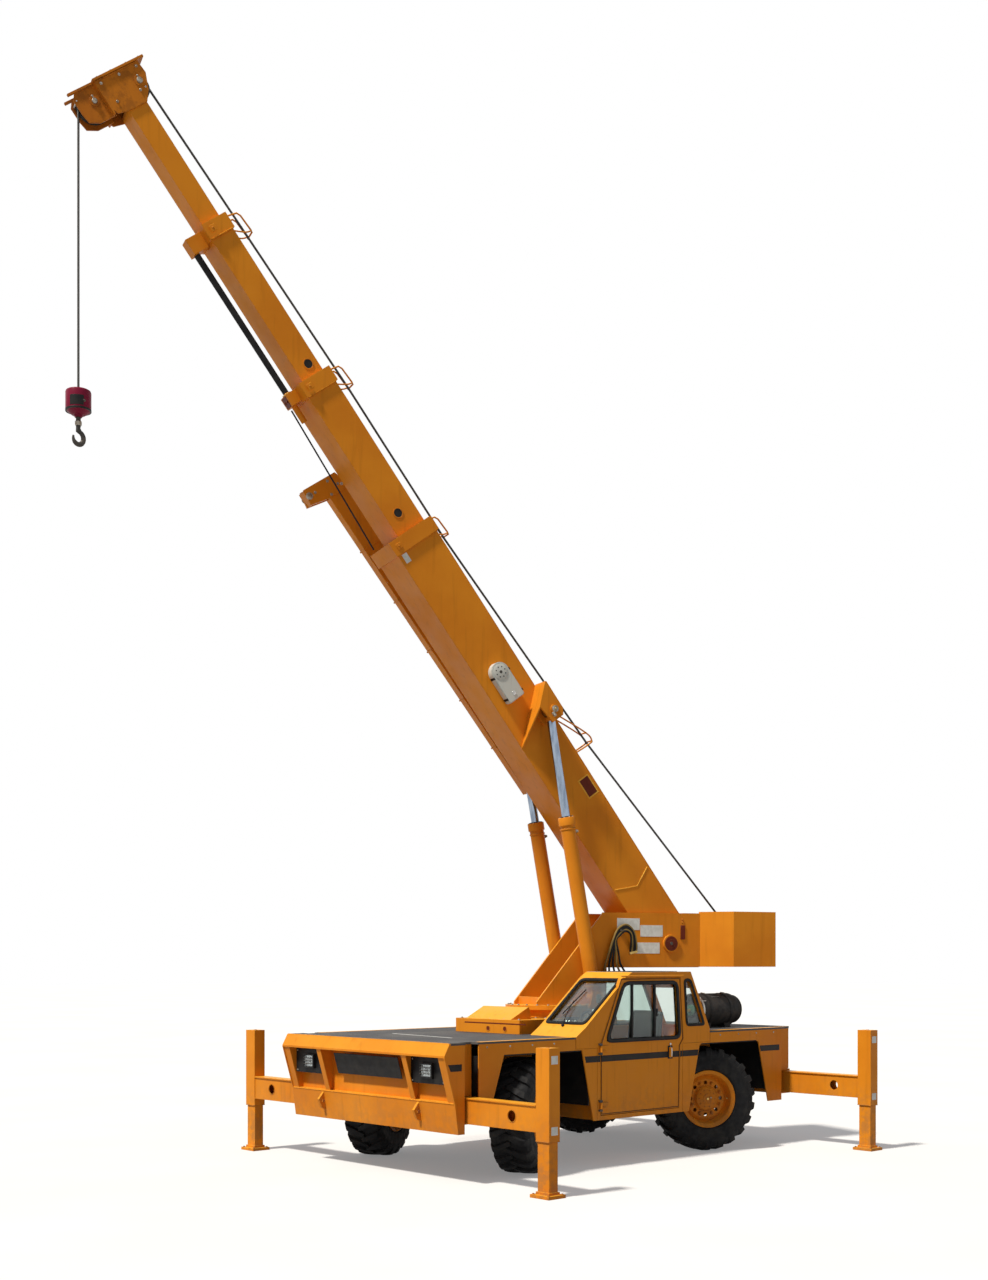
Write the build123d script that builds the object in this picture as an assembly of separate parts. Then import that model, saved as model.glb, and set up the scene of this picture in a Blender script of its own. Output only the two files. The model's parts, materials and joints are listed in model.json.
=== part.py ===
from build123d import *
from math import atan2, cos, degrees, hypot, radians, sin
import os

# Carry-deck crane, mm, +Z up. Built facing -Y with its left side on +X, origin on the ground
# under the nose; everything is shifted at the end so the origin is the bounding box's bottom centre.

# ---------------------------------------------------------------- driving sizes
WIDTH = 2440.0                     # over the body sides
HALF = WIDTH / 2
DECK_TOP = 1253.0
DECK_T = 18.0
SHEET = 12.0                       # body sheet
NOSE_Y = -100.0                    # deck's front edge
TAIL_Y = 4900.0
BODY_LOW = 452.0
ARCH_TOP = 1130.0
RUN = 5.0                          # clearance round sliding boxes
PIN_RUN = 0.05                     # radial clearance of pins in bores
SLIDE = 0.3                        # wear pads to what they run on

TYRE_R = 539.5
TYRE_W = 385.0
AXLE_Y = (950.0, 3700.0)           # front, rear kingpin lines
KINGPIN_X = HALF - 420.0
WHEEL_OUT = 190.0                  # kingpin to wheel centre
STEER_REST = (28.0, -28.0)         # front, rear wheels as parked, degrees about +Z

EYE_X = (700.0, 730.0)             # tow eyes on the nose
EYE_AT = (-45.0, 622.0)
EYE_R = 18.0

RIB_X = (640.0, HALF - 95.0)       # ribs of the nose
RIB_T = 12.0

RAIL_X = (320.0, 440.0)
RAIL_Z = (660.0, 1232.0)
RAIL_T = 16.0

OUT_Y = (158.0, 4840.0)            # outrigger lines
BEAM_Z = (540.0, 770.0)
BEAM_HY = 55.0
BEAM_HOLE = (HALF + 570.0, 50.0)   # place along the beam, radius
LEG_REACH = 950.0                  # stroke of a beam, out of the body side
LEG_X = HALF + LEG_REACH
BEAM_WALL = 8.0
BEAM_LIP = 12.0                    # top flange past the beam's side
LEG_TUBE = (160.0, 124.0)
LEG_CORE = (136.0, 100.0)
LEG_TOP = 1249.0
LEG_LOW = 467.0
PAD = (225.0, 200.0, 28.0)
HOUSING_END = HALF - 100.0
HOUSING_T = 12.0
NOSE_BACK = 30.0                   # back of the nose's inner plate
POCKET = (242.0, 4640.0)           # ends of the side sheets at the pockets of the stowed legs

SWING_Y = 2345.0                   # turret axis
SWING_REST = -18.0
PEDESTAL_AHEAD = 894.0             # pedestal's front face, ahead of the turret axis
DECK_SEAM = 6.0
TABLE_Z = 1520.0
PLATE_X = (246.0, 270.0)
PIVOT = (1278.0, 2151.0)           # boom foot pin: behind the turret axis, height
PIVOT_R = 45.0
LUFF_REST = 53.34
CW_FRONT = 1643.0
CW_HALF = 525.0
CW_Z = (1905.0, 2490.0)
WINCH_AT = (CW_FRONT + 402.0, 2290.0)
WELL_X = 205.0
CYL_X = 353.0
CYL_BASE = (323.0, 1600.0)
CYL_PIN = (2760.0, 220.0)          # along the boom, above its axis
EAR_X = (442.0, 467.0)             # outer plate of the rod bracket
EAR_PLATE = 26.0                   # inner plate, on the boom's side
EAR_TOP = 90.0                     # above the rod pin
EAR_AHEAD = 270.0                  # rod pin to the head of the bracket's raked web
WEB_BACK = 440.0                   # how far the web rakes back to its tip on the boom's low edge
WEB_T = 14.0
BARREL_R = 75.0
ROD_R = 42.5
BARREL_LEN = 1850.0                # base pin to gland face

# boom stages: half width, low and high edge, start and end along the boom, wall
STAGES = {
    "base": (238.0, -212.0, 294.0, -90.0, 4990.0, 12.0),
    "two": (195.0, -79.0, 259.0, 1870.0, 6665.0, 10.0),
    "three": (150.0, -20.0, 230.0, 3500.0, 8290.0, 8.0),
    "four": (116.0, -4.0, 196.0, 4680.0, 9440.0, 8.0),
}
COLLAR = 150.0                     # length of the band round each stage's mouth
JIB_X = (-600.0, -490.0)
JIB_SPAN = (2060.0, 5680.0)
JIB_ARMS = (3350.0, 4700.0)
JIB_WALL = 8.0
LINE_TUBE_R = 30.0
LINE_TUBE_DROP = 85.0
SHEAVE_AT = (9632.0, -226.0)       # along, above: the hoist sheave's axle
SHEAVE_R = 150.0
SHEAVE_PITCH = 130.0               # radius of the rope's centre line
SHEAVE_PACK = 57.0                 # half width of the three hoist sheaves
GUIDE_AT = (9600.0, 240.0)
GUIDE_R = 120.0
ROPE_R = 11.0
HEAD_END = 9780.0
BLOCK_Z = (6891.0, 7135.0)
HOOK_TIP_Z = 6619.0

CAB_IN_X = 600.0                   # cab's inner side
CAB_X = (CAB_IN_X, HALF)
CAB_WALL = 40.0
SEAT_SIDE = 45.0                   # seat's gap to each cab wall
ENGINE_LIFT = 24.0                 # engine's underside above the rails' lower flanges
ENGINE_SIDE = 20.0                 # its gap to each rail
DOOR_GAP = 6.0
CLEANER_AT = (HALF - 520.0, DECK_TOP + 189.0)
CLEANER_R = 176.0
DOOR_HINGE = (HALF + 16.0, 1800.0)

PARTS = {}


# ---------------------------------------------------------------- helpers
def block(x0, x1, y0, y1, z0, z1):
    return Pos((x0 + x1) / 2, (y0 + y1) / 2, (z0 + z1) / 2) * Box(x1 - x0, y1 - y0, z1 - z0)


def rod(a, b, r):
    start = Vector(*a)
    way = Vector(*b) - start
    return extrude(Plane(origin=start, z_dir=way) * Circle(r), way.length, dir=way)


def pipe(a, b, r, bore):
    return rod(a, b, r) - rod(a, b, bore)


def side_prism(points, x0, x1):
    """Profile in (Y, Z) pulled from x0 to x1."""
    return extrude(Plane.YZ.offset(x0) * Polygon(*points, align=None), x1 - x0, dir=(1, 0, 0))


def front_prism(points, y0, y1):
    """Profile in (X, Z) pulled from y0 to y1."""
    return extrude(Plane.XZ.offset(-y0) * Polygon(*points, align=None), y1 - y0, dir=(0, 1, 0))


def plan_prism(points, z0, z1):
    """Profile in (X, Y) pulled from z0 to z1."""
    return extrude(Plane.XY.offset(z0) * Polygon(*points, align=None), z1 - z0, dir=(0, 0, 1))


def joined(pieces):
    solid = pieces[0]
    for piece in pieces[1:]:
        solid = solid + piece
    return solid


def spread(x0, x1, side):
    return (side * x0, side * x1) if side > 0 else (side * x1, side * x0)


# ---------------------------------------------------------------- chassis
def chassis_frame():
    parts = []
    inner = BEAM_HY + BEAM_LIP + RUN
    outer = inner + HOUSING_T
    y0 = OUT_Y[0] + outer
    y1 = OUT_Y[1] - outer
    for side in (1, -1):
        a, b = spread(*RAIL_X, side)
        rail = block(a, b, y0, y1, *RAIL_Z)
        a, b = spread(RAIL_X[0] - 1, RAIL_X[1] - RAIL_T, side)
        parts.append(rail - block(a, b, y0 + 20, y1 - 20, RAIL_Z[0] + RAIL_T, RAIL_Z[1] - RAIL_T))
    for y in (560.0, 1760.0, 2900.0, 4560.0):
        parts.append(block(-RAIL_X[0], RAIL_X[0], y, y + 80.0, 800.0, RAIL_Z[1]))
    for y in (1900.0, 2700.0):
        parts.append(block(RAIL_X[1], CAB_X[0], y, y + 80.0, RAIL_Z[0], RAIL_Z[0] + 80.0))
    low = BEAM_Z[0] - RUN
    high = BEAM_Z[1] + RUN
    for y in OUT_Y:
        tube = block(-HOUSING_END, HOUSING_END, y - outer, y + outer, low - HOUSING_T, high + HOUSING_T)
        parts.append(tube - block(-HOUSING_END, HOUSING_END, y - inner, y + inner, low, high))
        parts.append(block(-900.0, 900.0, y - 40.0, y + 40.0, high + HOUSING_T, RAIL_Z[1]))
        for side in (1, -1):
            a, b = spread(HOUSING_END - SHEET, HOUSING_END, side)
            front, back = (NOSE_BACK + 8, POCKET[0]) if y == OUT_Y[0] else (POCKET[1], TAIL_Y - SHEET - 2)
            parts.append(block(a, b, front, back, high + HOUSING_T, DECK_TOP - DECK_T))
    for y in AXLE_Y:
        for side in (1, -1):
            a, b = spread(*RAIL_X, side)
            parts.append(block(a, b, y - 90.0, y + 90.0, RAIL_Z[0] - 20.0, RAIL_Z[0]))
    return joined(parts)


def nose_panel():
    lip = [(NOSE_Y, DECK_TOP), (-160, 1146), (-160, 1128), (30, 1128), (30, 1234), (-85, 1234),
           (-85, DECK_TOP)]
    cheek = [(NOSE_Y, DECK_TOP - 1), (-160, 1146), (-160, 1128), (-38, 719), (0, BODY_LOW),
             (75, BODY_LOW), (75, 1234), (-85, 1234), (-85, DECK_TOP - 1)]
    lower = [(-38, 731), (-38, 719), (0, BODY_LOW), (12, BODY_LOW), (-26, 719), (30, 719), (30, 731)]
    inner = HALF - SHEET
    parts = [side_prism(lip, -inner, inner),
             block(-inner, inner, NOSE_BACK - SHEET, NOSE_BACK, 731, 1128),
             side_prism(lower, -inner, inner)]
    for side in (1, -1):
        parts.append(side_prism(cheek, *spread(inner, HALF, side)))
        for x in RIB_X:
            web = [(-150, 1128), (-32, 731), (18, 731), (18, 1128)]
            parts.append(side_prism(web, *spread(x - RIB_T / 2, x + RIB_T / 2, side)))
        flange = [(-150, 1128), (-32, 731), (-22, 731), (-140, 1128)]
        parts.append(side_prism(flange, *spread(RIB_X[0] - 32, RIB_X[0] + 32, side)))
        parts.append(side_prism(flange, *spread(RIB_X[1] - RIB_T / 2, inner, side)))
        lug = side_prism([(-95, 640), (-30, 719), (18, 719), (18, 520), (-60, 560)], *spread(*EYE_X, side))
        parts.append(lug - rod((side * (EYE_X[0] - 1), *EYE_AT), (side * (EYE_X[1] + 1), *EYE_AT), EYE_R))
        housing = OUT_Y[0] - BEAM_HY - BEAM_LIP - RUN - HOUSING_T
        parts.append(block(*spread(500.0, 620.0, side), NOSE_BACK, housing, 560, 780))
    return joined(parts)


def front_lamps():
    """Dark panel that fills the bay between two ribs, with a boxed lamp in its middle."""
    low = RIB_X[0] + RIB_T / 2 + SLIDE
    high = RIB_X[1] - RIB_T / 2 - SLIDE
    middle = (low + high) / 2
    parts = []
    for side in (1, -1):
        panel = block(*spread(low, high, side), -62, -54, 885, 1115)
        case = block(*spread(middle - 85, middle + 85, side), -92, -62, 932, 1070)
        bowl = block(*spread(middle - 72, middle + 72, side), -93, -74, 945, 1057)
        stay = block(*spread(middle - 20, middle + 20, side), -54, NOSE_BACK - SHEET, 960, 1040)
        parts.append(panel + case - bowl + stay)
    return parts


def deck_plate():
    """Front carry deck and the deck round the turret, with a seam between them."""
    notch = HOUSING_END + RUN
    cab = block(CAB_X[0] - 2, HALF + 1, CAB_OUT[0][0] - 2, 3432, DECK_TOP - 50, DECK_TOP + 50)
    seam = SWING_Y - PEDESTAL_AHEAD - DECK_SEAM
    plates = []
    for front, back in ((-85, seam), (seam + DECK_SEAM, TAIL_Y)):
        plate = block(-HALF, HALF, front, back, DECK_TOP - DECK_T, DECK_TOP)
        for side in (1, -1):
            a, b = spread(notch, HALF + 1, side)
            half = LEG_TUBE[1] / 2 + 2 * RUN
            plate -= block(a, b, OUT_Y[0] - half, OUT_Y[0] + half, DECK_TOP - 50, DECK_TOP + 50)
            plate -= block(a, b, OUT_Y[1] - half, TAIL_Y + 1, DECK_TOP - 50, DECK_TOP + 50)
        plates.append(plate - cab)
    return plates


def wheel_wells():
    parts = []
    for y, front, back in ((AXLE_Y[0], 262.0, 1655.0), (AXLE_Y[1], 3008.0, 4395.0)):
        for side in (1, -1):
            a, b = spread(RAIL_X[1], HALF - SHEET, side)
            shell = block(a, b, front, back, 600, 1128)
            shell -= block(a - 1, b + 1, front + 10, back - 10, 599, 1118)
            parts.append(shell)
    return parts


def body_side(side):
    """Side sheet: cut away round the sloped wheel arches and, on the left, round the cab."""
    front, back = POCKET
    top = DECK_TOP - DECK_T
    arch = ARCH_TOP
    ahead = [(front, 640), (front, top)]
    front_arch = [(1552, arch), (548, arch), (420, 750), (400, 640)]
    rear_arch = [(4405, BODY_LOW + 18), (4240, arch - 20), (4200, arch), (3300, arch), (3268, arch - 20),
                 (3100, BODY_LOW)]
    tail = [(back, top), (back, 470)]
    if side > 0:
        cab_front, cab_back = CAB_OUT[0][0] - 8, CAB_OUT[6][0] + 8
        low_front, low_back = CAB_OUT[9][0] - 4, CAB_OUT[8][0] + 4
        under = CAB_OUT[7][1] - 2
        return [side_prism([*ahead, (cab_front, top), (cab_front, under), (low_front, under),
                            (low_front, BODY_LOW), (1706, BODY_LOW), *front_arch], HALF - SHEET, HALF),
                side_prism([(cab_back, under), (cab_back, top), *tail, *rear_arch, (low_back, BODY_LOW),
                            (low_back, under)], HALF - SHEET, HALF)]
    return [side_prism([*ahead, *tail, *rear_arch, (1706, BODY_LOW), *front_arch], -HALF, -HALF + SHEET)]


def tail_panel():
    back = TAIL_Y - SHEET
    inner = HOUSING_END
    panel = block(-inner, inner, back, TAIL_Y, 792, DECK_TOP - DECK_T)
    for z in (880.0, 940.0, 1000.0, 1060.0, 1120.0):
        panel -= block(-420, 420, back - 1, TAIL_Y + 1, z, z + 26)
    return panel


def right_tank():
    """Closed tank between the right rail and the side sheet."""
    x0, x1, y0, y1, z0, z1 = -HALF + SHEET, -RAIL_X[1], 1706, 2996, BODY_LOW + 18, DECK_TOP - DECK_T
    return block(x0, x1, y0, y1, z0, z1)


def engine_block():
    half = RAIL_X[0] - ENGINE_SIDE
    flange = RAIL_Z[0] + RAIL_T
    under = flange + ENGINE_LIFT
    feet = [block(*spread(half - 40, RAIL_X[0] + 40, side), y, y + 80, flange, under + 20)
            for side in (1, -1) for y in (4060, 4420)]
    return joined([block(-half, half, 4010, 4540, under, under + 480), *feet])


# ---------------------------------------------------------------- cab
CAB_OUT = [(1470, 1253), (1600, 1340), (2170, 1815), (2250, 1860), (3130, 1860), (3430, 1280),
           (3430, 1142), (3000, 1142), (3000, BODY_LOW), (1760, BODY_LOW), (1760, 1142), (1470, 1142)]
CAB_IN = [(1530, 1245), (1626, 1309), (2190, 1780), (2262, 1820), (3105, 1820), (3385, 1275),
          (3385, 1182), (2960, 1182), (2960, 492), (1800, 492), (1800, 1182), (1530, 1182)]
DOOR = [(1806, 500), (2944, 500), (2958, 1125), (3012, 1188), (2966, 1800), (2092, 1800), (1806, 1180)]
DOOR_WINDOW = [(1886, 1200), (2962, 1200), (2918, 1758), (2130, 1758)]


INNER_WINDOW = [(1760, 1390), (2240, 1775), (3080, 1775), (3320, 1310), (1700, 1310)]
QUARTER_WINDOW = [(3032, 1778), (3122, 1778), (3338, 1322), (3066, 1322)]
ROOF_HATCH = (90.0, 2330.0, 2980.0)
SCREEN_INSET = (50.0, 45.0)        # screen opening from its lower and upper corners
GLASS_GAP = 0.2


def grown(points, by):
    """Polygon offset outward by a constant distance, sharp corners."""
    flat = make_face(Polyline(*points, close=True))
    wide = offset(flat, by, kind=Kind.INTERSECTION)
    return wide


def wall_cut(points, by, x0, x1):
    face = Plane.YZ.offset(x0) * grown(points, by)
    return extrude(face, x1 - x0, dir=(1, 0, 0))


def cab_shell():
    x0, x1 = CAB_X
    solid = side_prism(CAB_OUT, x0, x1)
    solid -= side_prism(CAB_IN, x0 + CAB_WALL, x1 - CAB_WALL)
    solid -= wall_cut(DOOR, DOOR_GAP, x1 - CAB_WALL - 1, x1 + 1)
    solid -= screen_slab(0.0, 60.0, -110.0)
    solid -= side_prism([(3060, 1660), (3400, 1760), (3560, 1330), (3340, 1300), (3300, 1300)],
                        x0 + 50, x1 - 50)
    solid -= side_prism(QUARTER_WINDOW, x1 - CAB_WALL - 1, x1 + 1)
    solid -= side_prism(INNER_WINDOW, x0 - 1, x0 + CAB_WALL + 1)
    solid -= block(x0 + ROOF_HATCH[0], x1 - ROOF_HATCH[0], *ROOF_HATCH[1:], 1800, 1900)
    return solid


def screen_slab(trim, over, under):
    """Slab along the windscreen's slope, trimmed at its edges, from over to under the outer skin."""
    (ay, az), (by, bz) = CAB_OUT[1], CAB_OUT[2]
    size = hypot(by - ay, bz - az)
    uy, uz = (by - ay) / size, (bz - az) / size
    low = SCREEN_INSET[0] + trim
    high = size - SCREEN_INSET[1] - trim
    corners = [(low, over), (high, over), (high, under), (low, under)]
    points = [(ay + uy * a - uz * b, az + uz * a + uy * b) for a, b in corners]
    return side_prism(points, CAB_X[0] + 50 + trim, CAB_X[1] - 50 - trim)


def pane(points, x0, x1):
    return extrude(Plane.YZ.offset(x0) * grown(points, -GLASS_GAP), x1 - x0, dir=(1, 0, 0))


def cab_glass():
    x0, x1 = CAB_X
    inset = ROOF_HATCH[0] + GLASS_GAP
    roof = block(x0 + inset, x1 - inset, ROOF_HATCH[1] + GLASS_GAP, ROOF_HATCH[2] - GLASS_GAP, 1838, 1844)
    return [screen_slab(GLASS_GAP, -12.0, -18.0), pane(INNER_WINDOW, x0 + 17, x0 + 23),
            pane(QUARTER_WINDOW, x1 - 23, x1 - 17), roof]


def cab_seat():
    y = 2560.0
    x0 = CAB_X[0] + CAB_WALL + SEAT_SIDE
    x1 = CAB_X[1] - CAB_WALL - SEAT_SIDE
    return joined([block(x0 + 75, x1 - 75, y - 190, y + 190, 492, 700),
                   block(x0, x1, y - 240, y + 240, 700, 830),
                   side_prism([(y + 190, 830), (y + 240, 800), (y + 330, 1480), (y + 230, 1480), (y + 120, 830)],
                              x0 + 10, x1 - 10)])


def cab_controls():
    x = (CAB_X[0] + CAB_X[1]) / 2
    dash = side_prism([(1802, 700), (1802, 1182), (1560, 1182), (1640, 1290), (1840, 1270), (1900, 1180),
                       (1900, 700)], CAB_X[0] + 45, CAB_X[1] - 120)
    column = rod((x, 1850, 1180), (x, 2062, 1339), 28)
    grip = [(165 + 14 * cos(radians(60 * k)), 14 * sin(radians(60 * k))) for k in range(6)]
    ring = revolve(Plane.XZ * Polygon(*grip, align=None), Axis.Z)
    wheel = Plane(origin=(x, 2062, 1339), z_dir=(0, 200, 150)) * ring
    spoke = Plane(origin=(x, 2062, 1339), z_dir=(0, 200, 150)) * Box(320, 30, 12)
    return joined([dash, column, wheel, spoke])


def cab_door():
    x1 = CAB_X[1]
    leaf = side_prism(DOOR, x1 - CAB_WALL, x1)
    leaf -= side_prism(DOOR_WINDOW, x1 - CAB_WALL - 1, x1 + 1)
    hinge_x, hinge_y = DOOR_HINGE
    for z in (560.0, 1100.0):
        leaf += block(x1, hinge_x - 4, hinge_y + 8, hinge_y + 70, z, z + 60)
        leaf += pipe((hinge_x, hinge_y, z), (hinge_x, hinge_y, z + 60), 11, 6 + PIN_RUN)
        leaf += block(hinge_x - 11, hinge_x - 4, hinge_y + 8, hinge_y + 20, z, z + 60)
    leaf += block(x1, x1 + 25, 2790, 2820, 1010, 1110)
    return leaf


def cab_door_glass():
    x1 = CAB_X[1]
    return pane(DOOR_WINDOW, x1 - 23, x1 - 17)


def cab_hinge_pins():
    hinge_x, hinge_y = DOOR_HINGE
    x1 = CAB_X[1]
    parts = []
    for z in (560.0, 1100.0):
        post = rod((hinge_x, hinge_y, z - 22), (hinge_x, hinge_y, z + 82), 6)
        parts.append(joined([post,
                             block(x1, hinge_x + 8, hinge_y - 26, hinge_y + 8, z - 24, z - 5),
                             block(x1, hinge_x + 8, hinge_y - 26, hinge_y + 8, z + 65, z + 84)]))
    return parts


# ---------------------------------------------------------------- deck gear
def air_cleaner():
    x, z = CLEANER_AT
    body = rod((x, 3760, z), (x, 4335, z), CLEANER_R)
    cap = rod((x, 4335, z), (x, 4425, z), CLEANER_R - 22)
    stand = [block(x - 110, x + 110, y, y + 100, DECK_TOP, z - 0.7 * CLEANER_R) for y in (3850, 4180)]
    return joined([body, cap, *stand])


def turret_pedestal():
    parts = [block(-470, 470, SWING_Y - PEDESTAL_AHEAD, SWING_Y + 500, DECK_TOP, 1391)
             - block(-450, 450, SWING_Y - PEDESTAL_AHEAD + 20, SWING_Y + 480, DECK_TOP - 1, 1371)]
    parts.append(rod((0, SWING_Y, 1391), (0, SWING_Y, 1474 - SLIDE), 430))
    parts.append(side_prism([(SWING_Y - 880, 1391), (SWING_Y - 640, 1510), (SWING_Y - 630, 1510),
                             (SWING_Y - 600, 1391)], -330, 330))
    return joined(parts)


# ---------------------------------------------------------------- axles, knuckles, wheels
def axle(y):
    z = TYRE_R
    end = KINGPIN_X - 75.0
    parts = [rod((-end, y, z), (end, y, z), 88)]
    bowl = Pos(0, y, z) * Sphere(205)
    parts.append(bowl & block(-300, 300, y - 210, y + 210, z - 210, RAIL_Z[0] - 20))
    for side in (1, -1):
        a, b = spread(*RAIL_X, side)
        parts.append(block(a, b, y - 80, y + 80, z, RAIL_Z[0] - 20))
        x0, x1 = spread(end - 30, end, side)
        parts.append(block(x0, x1, y - 50, y + 50, z - 150, z + 150))
        x0, x1 = spread(end - 10, KINGPIN_X + 45, side)
        for low in (z + 112, z - 150):
            parts.append(block(x0, x1, y - 60, y + 60, low, low + 38))
        parts.append(rod((side * 150, y + 175, z + 20), (side * 330, y + 175, z + 20), 38))
        parts.append(rod((side * 330, y + 175, z + 20), (side * 560, y + 175, z + 20), 18))
    parts.append(rod((-150, y + 175, z + 20), (150, y + 175, z + 20), 38))
    for side in (1, -1):
        x0, x1 = spread(210, 250, side)
        parts.append(block(x0, x1, y, y + 175, z - 10, z + 50))
    solid = joined(parts)
    for side in (1, -1):
        solid -= rod((side * KINGPIN_X, y, z - 151), (side * KINGPIN_X, y, z + 151), 28 + PIN_RUN)
    return solid


def knuckle(side, y):
    z = TYRE_R
    x = side * KINGPIN_X
    cx = side * (KINGPIN_X + WHEEL_OUT)
    boss = rod((x, y, z - 107), (x, y, z + 107), 58)
    pin = rod((x, y, z - 149), (x, y, z + 149), 28)
    flange = rod((x + side * 20, y, z), (x + side * 70, y, z), 92)
    stub = rod((x, y, z), (cx + side * 120, y, z), 40)
    arm = plan_prism([(x - side * 5, y + 40), (x + side * 40, y + 40), (x + side * 20, y + 205),
                      (x - side * 30, y + 205)], z + 5, z + 40)
    return joined([boss, pin, flange, stub, arm])


def rim(side, y):
    # profile in (x from the wheel centre, radius), outward positive
    shape = [(-192, 297), (-180, 297), (-168, 268), (-60, 246), (60, 246), (150, 268), (165, 297), (177, 297),
             (177, 290), (158, 258), (72, 236), (96, 200), (96, 130), (128, 112), (150, 60), (150, 0),
             (122, 0), (122, 40 + PIN_RUN), (-60, 40 + PIN_RUN), (-60, 105), (-110, 105), (-110, 190),
             (-20, 190), (-20, 105), (60, 105), (80, 130), (80, 190), (50, 234), (-60, 234), (-180, 258),
             (-192, 290)]
    face = make_face(Polyline(*[(a, 0, r) for a, r in shape], close=True))
    wheel = revolve(face, Axis.X)
    for k in range(8):
        wheel -= Rot(k * 45, 0, 0) * (Pos(88, 0, 165) * Rot(0, 90, 0) * Cylinder(20, 60))
    wheel = wheel if side > 0 else Rot(0, 0, 180) * wheel
    return Pos(side * (KINGPIN_X + WHEEL_OUT), y, TYRE_R) * wheel


def tyre(side, y):
    h = TYRE_W / 2
    shape = [(-167.4, 268.4), (-179.2, 298), (-h, 330), (-h, 430), (-h + 6, 485), (-h + 32, 528), (-140, TYRE_R),
             (140, TYRE_R), (h - 32, 528), (h - 6, 485), (h, 430), (h, 330), (164.2, 298), (149.4, 268.4),
             (60, 246.4), (-60, 246.4)]
    face = make_face(Polyline(*[(a, 0, r) for a, r in shape], close=True))
    body = revolve(face, Axis.X)
    body = body if side > 0 else Rot(0, 0, 180) * body
    return Pos(side * (KINGPIN_X + WHEEL_OUT), y, TYRE_R) * body


# ---------------------------------------------------------------- outriggers
def outrigger_beam(side, y):
    x0, x1 = spread(1000.0, LEG_X - LEG_TUBE[0] / 2, side)
    beam = block(x0, x1, y - BEAM_HY, y + BEAM_HY, *BEAM_Z)
    beam += block(x0, x1, y - BEAM_HY - BEAM_LIP, y + BEAM_HY + BEAM_LIP, BEAM_Z[1] - SHEET, BEAM_Z[1])
    beam -= block(x0 - 1, x1 + 1, y - BEAM_HY + BEAM_WALL, y + BEAM_HY - BEAM_WALL,
                  BEAM_Z[0] + BEAM_WALL, BEAM_Z[1] - SHEET)
    middle = (BEAM_Z[0] + BEAM_Z[1]) / 2
    hole = rod((side * BEAM_HOLE[0], y - BEAM_HY - 1, middle), (side * BEAM_HOLE[0], y + BEAM_HY + 1, middle),
               BEAM_HOLE[1])
    lx, ly = LEG_TUBE
    x = side * LEG_X
    tube = block(x - lx / 2, x + lx / 2, y - ly / 2, y + ly / 2, LEG_LOW, LEG_TOP)
    cx, cy = LEG_CORE
    tube -= block(x - cx / 2 - RUN, x + cx / 2 + RUN, y - cy / 2 - RUN, y + cy / 2 + RUN,
                  LEG_LOW - 1, LEG_TOP - 15)
    pads = [block(*spread(1000.0, 1060.0, side), y - 40, y + 40, BEAM_Z[0] - RUN + SLIDE, BEAM_Z[0]),
            block(*spread(1000.0, 1060.0, side), y - 40, y + 40, BEAM_Z[1], BEAM_Z[1] + RUN - SLIDE)]
    return joined([beam - hole, tube, *pads])


def outrigger_leg(side, y):
    cx, cy = LEG_CORE
    x = side * LEG_X
    core = block(x - cx / 2, x + cx / 2, y - cy / 2, y + cy / 2, PAD[2], 880)
    pad = block(x - PAD[0] / 2, x + PAD[0] / 2, y - PAD[1] / 2, y + PAD[1] / 2, 0, PAD[2])
    shoe = block(x - cx / 2 - 12, x + cx / 2 + 12, y - cy / 2 - 12, y + cy / 2 + 12, PAD[2], PAD[2] + 22)
    guide = block(x - cx / 2 - RUN + SLIDE, x + cx / 2 + RUN - SLIDE, y - 30, y + 30, 800, 880)
    return joined([pad, shoe, core, guide])


# ---------------------------------------------------------------- turret (own frame: axis at 0, 0)
def turret_table():
    parts = [rod((0, 0, 1474), (0, 0, TABLE_Z), 470)]
    plate = [(-296, 1551), (-296, TABLE_Z), (500, TABLE_Z), (505, 1900), (CW_FRONT, 1905), (CW_FRONT, 2470),
             (472, 2470), (80, 2000)]
    for side in (1, -1):
        parts.append(side_prism(plate, *spread(*PLATE_X, side)))
        boss = rod((side * PLATE_X[1], PIVOT[0], PIVOT[1]), (side * (PLATE_X[1] + 18), PIVOT[0], PIVOT[1]), 92)
        parts.append(boss)
        parts.append(rod((side * PLATE_X[1], *CYL_BASE), (side * 298, *CYL_BASE), 50))
        lug = [(CYL_BASE[0] - 90, TABLE_Z), (CYL_BASE[0] + 75, TABLE_Z), (CYL_BASE[0] + 60, 1650),
               (CYL_BASE[0] - 60, 1650)]
        parts.append(side_prism(lug, *spread(410, 432, side)))
        parts.append(plan_prism([(side * 260, 200), (side * 432, 220), (side * 432, 400), (side * 260, 420)],
                                1490, TABLE_Z))
        pin = rod((side * 270, *CYL_BASE), (side * 440, *CYL_BASE), 32)
        parts.append(pin)
    parts.append(block(-PLATE_X[0], PLATE_X[0], -250, -230, TABLE_Z, 1600))
    parts.append(block(-PLATE_X[0], PLATE_X[0], 480, 500, TABLE_Z, 1700))
    parts.append(block(-PLATE_X[0], PLATE_X[0], 505, CW_FRONT, 1900, 1912))
    parts.append(rod((-PLATE_X[0], *PIVOT), (PLATE_X[0], *PIVOT), PIVOT_R))
    return joined(parts)


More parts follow.
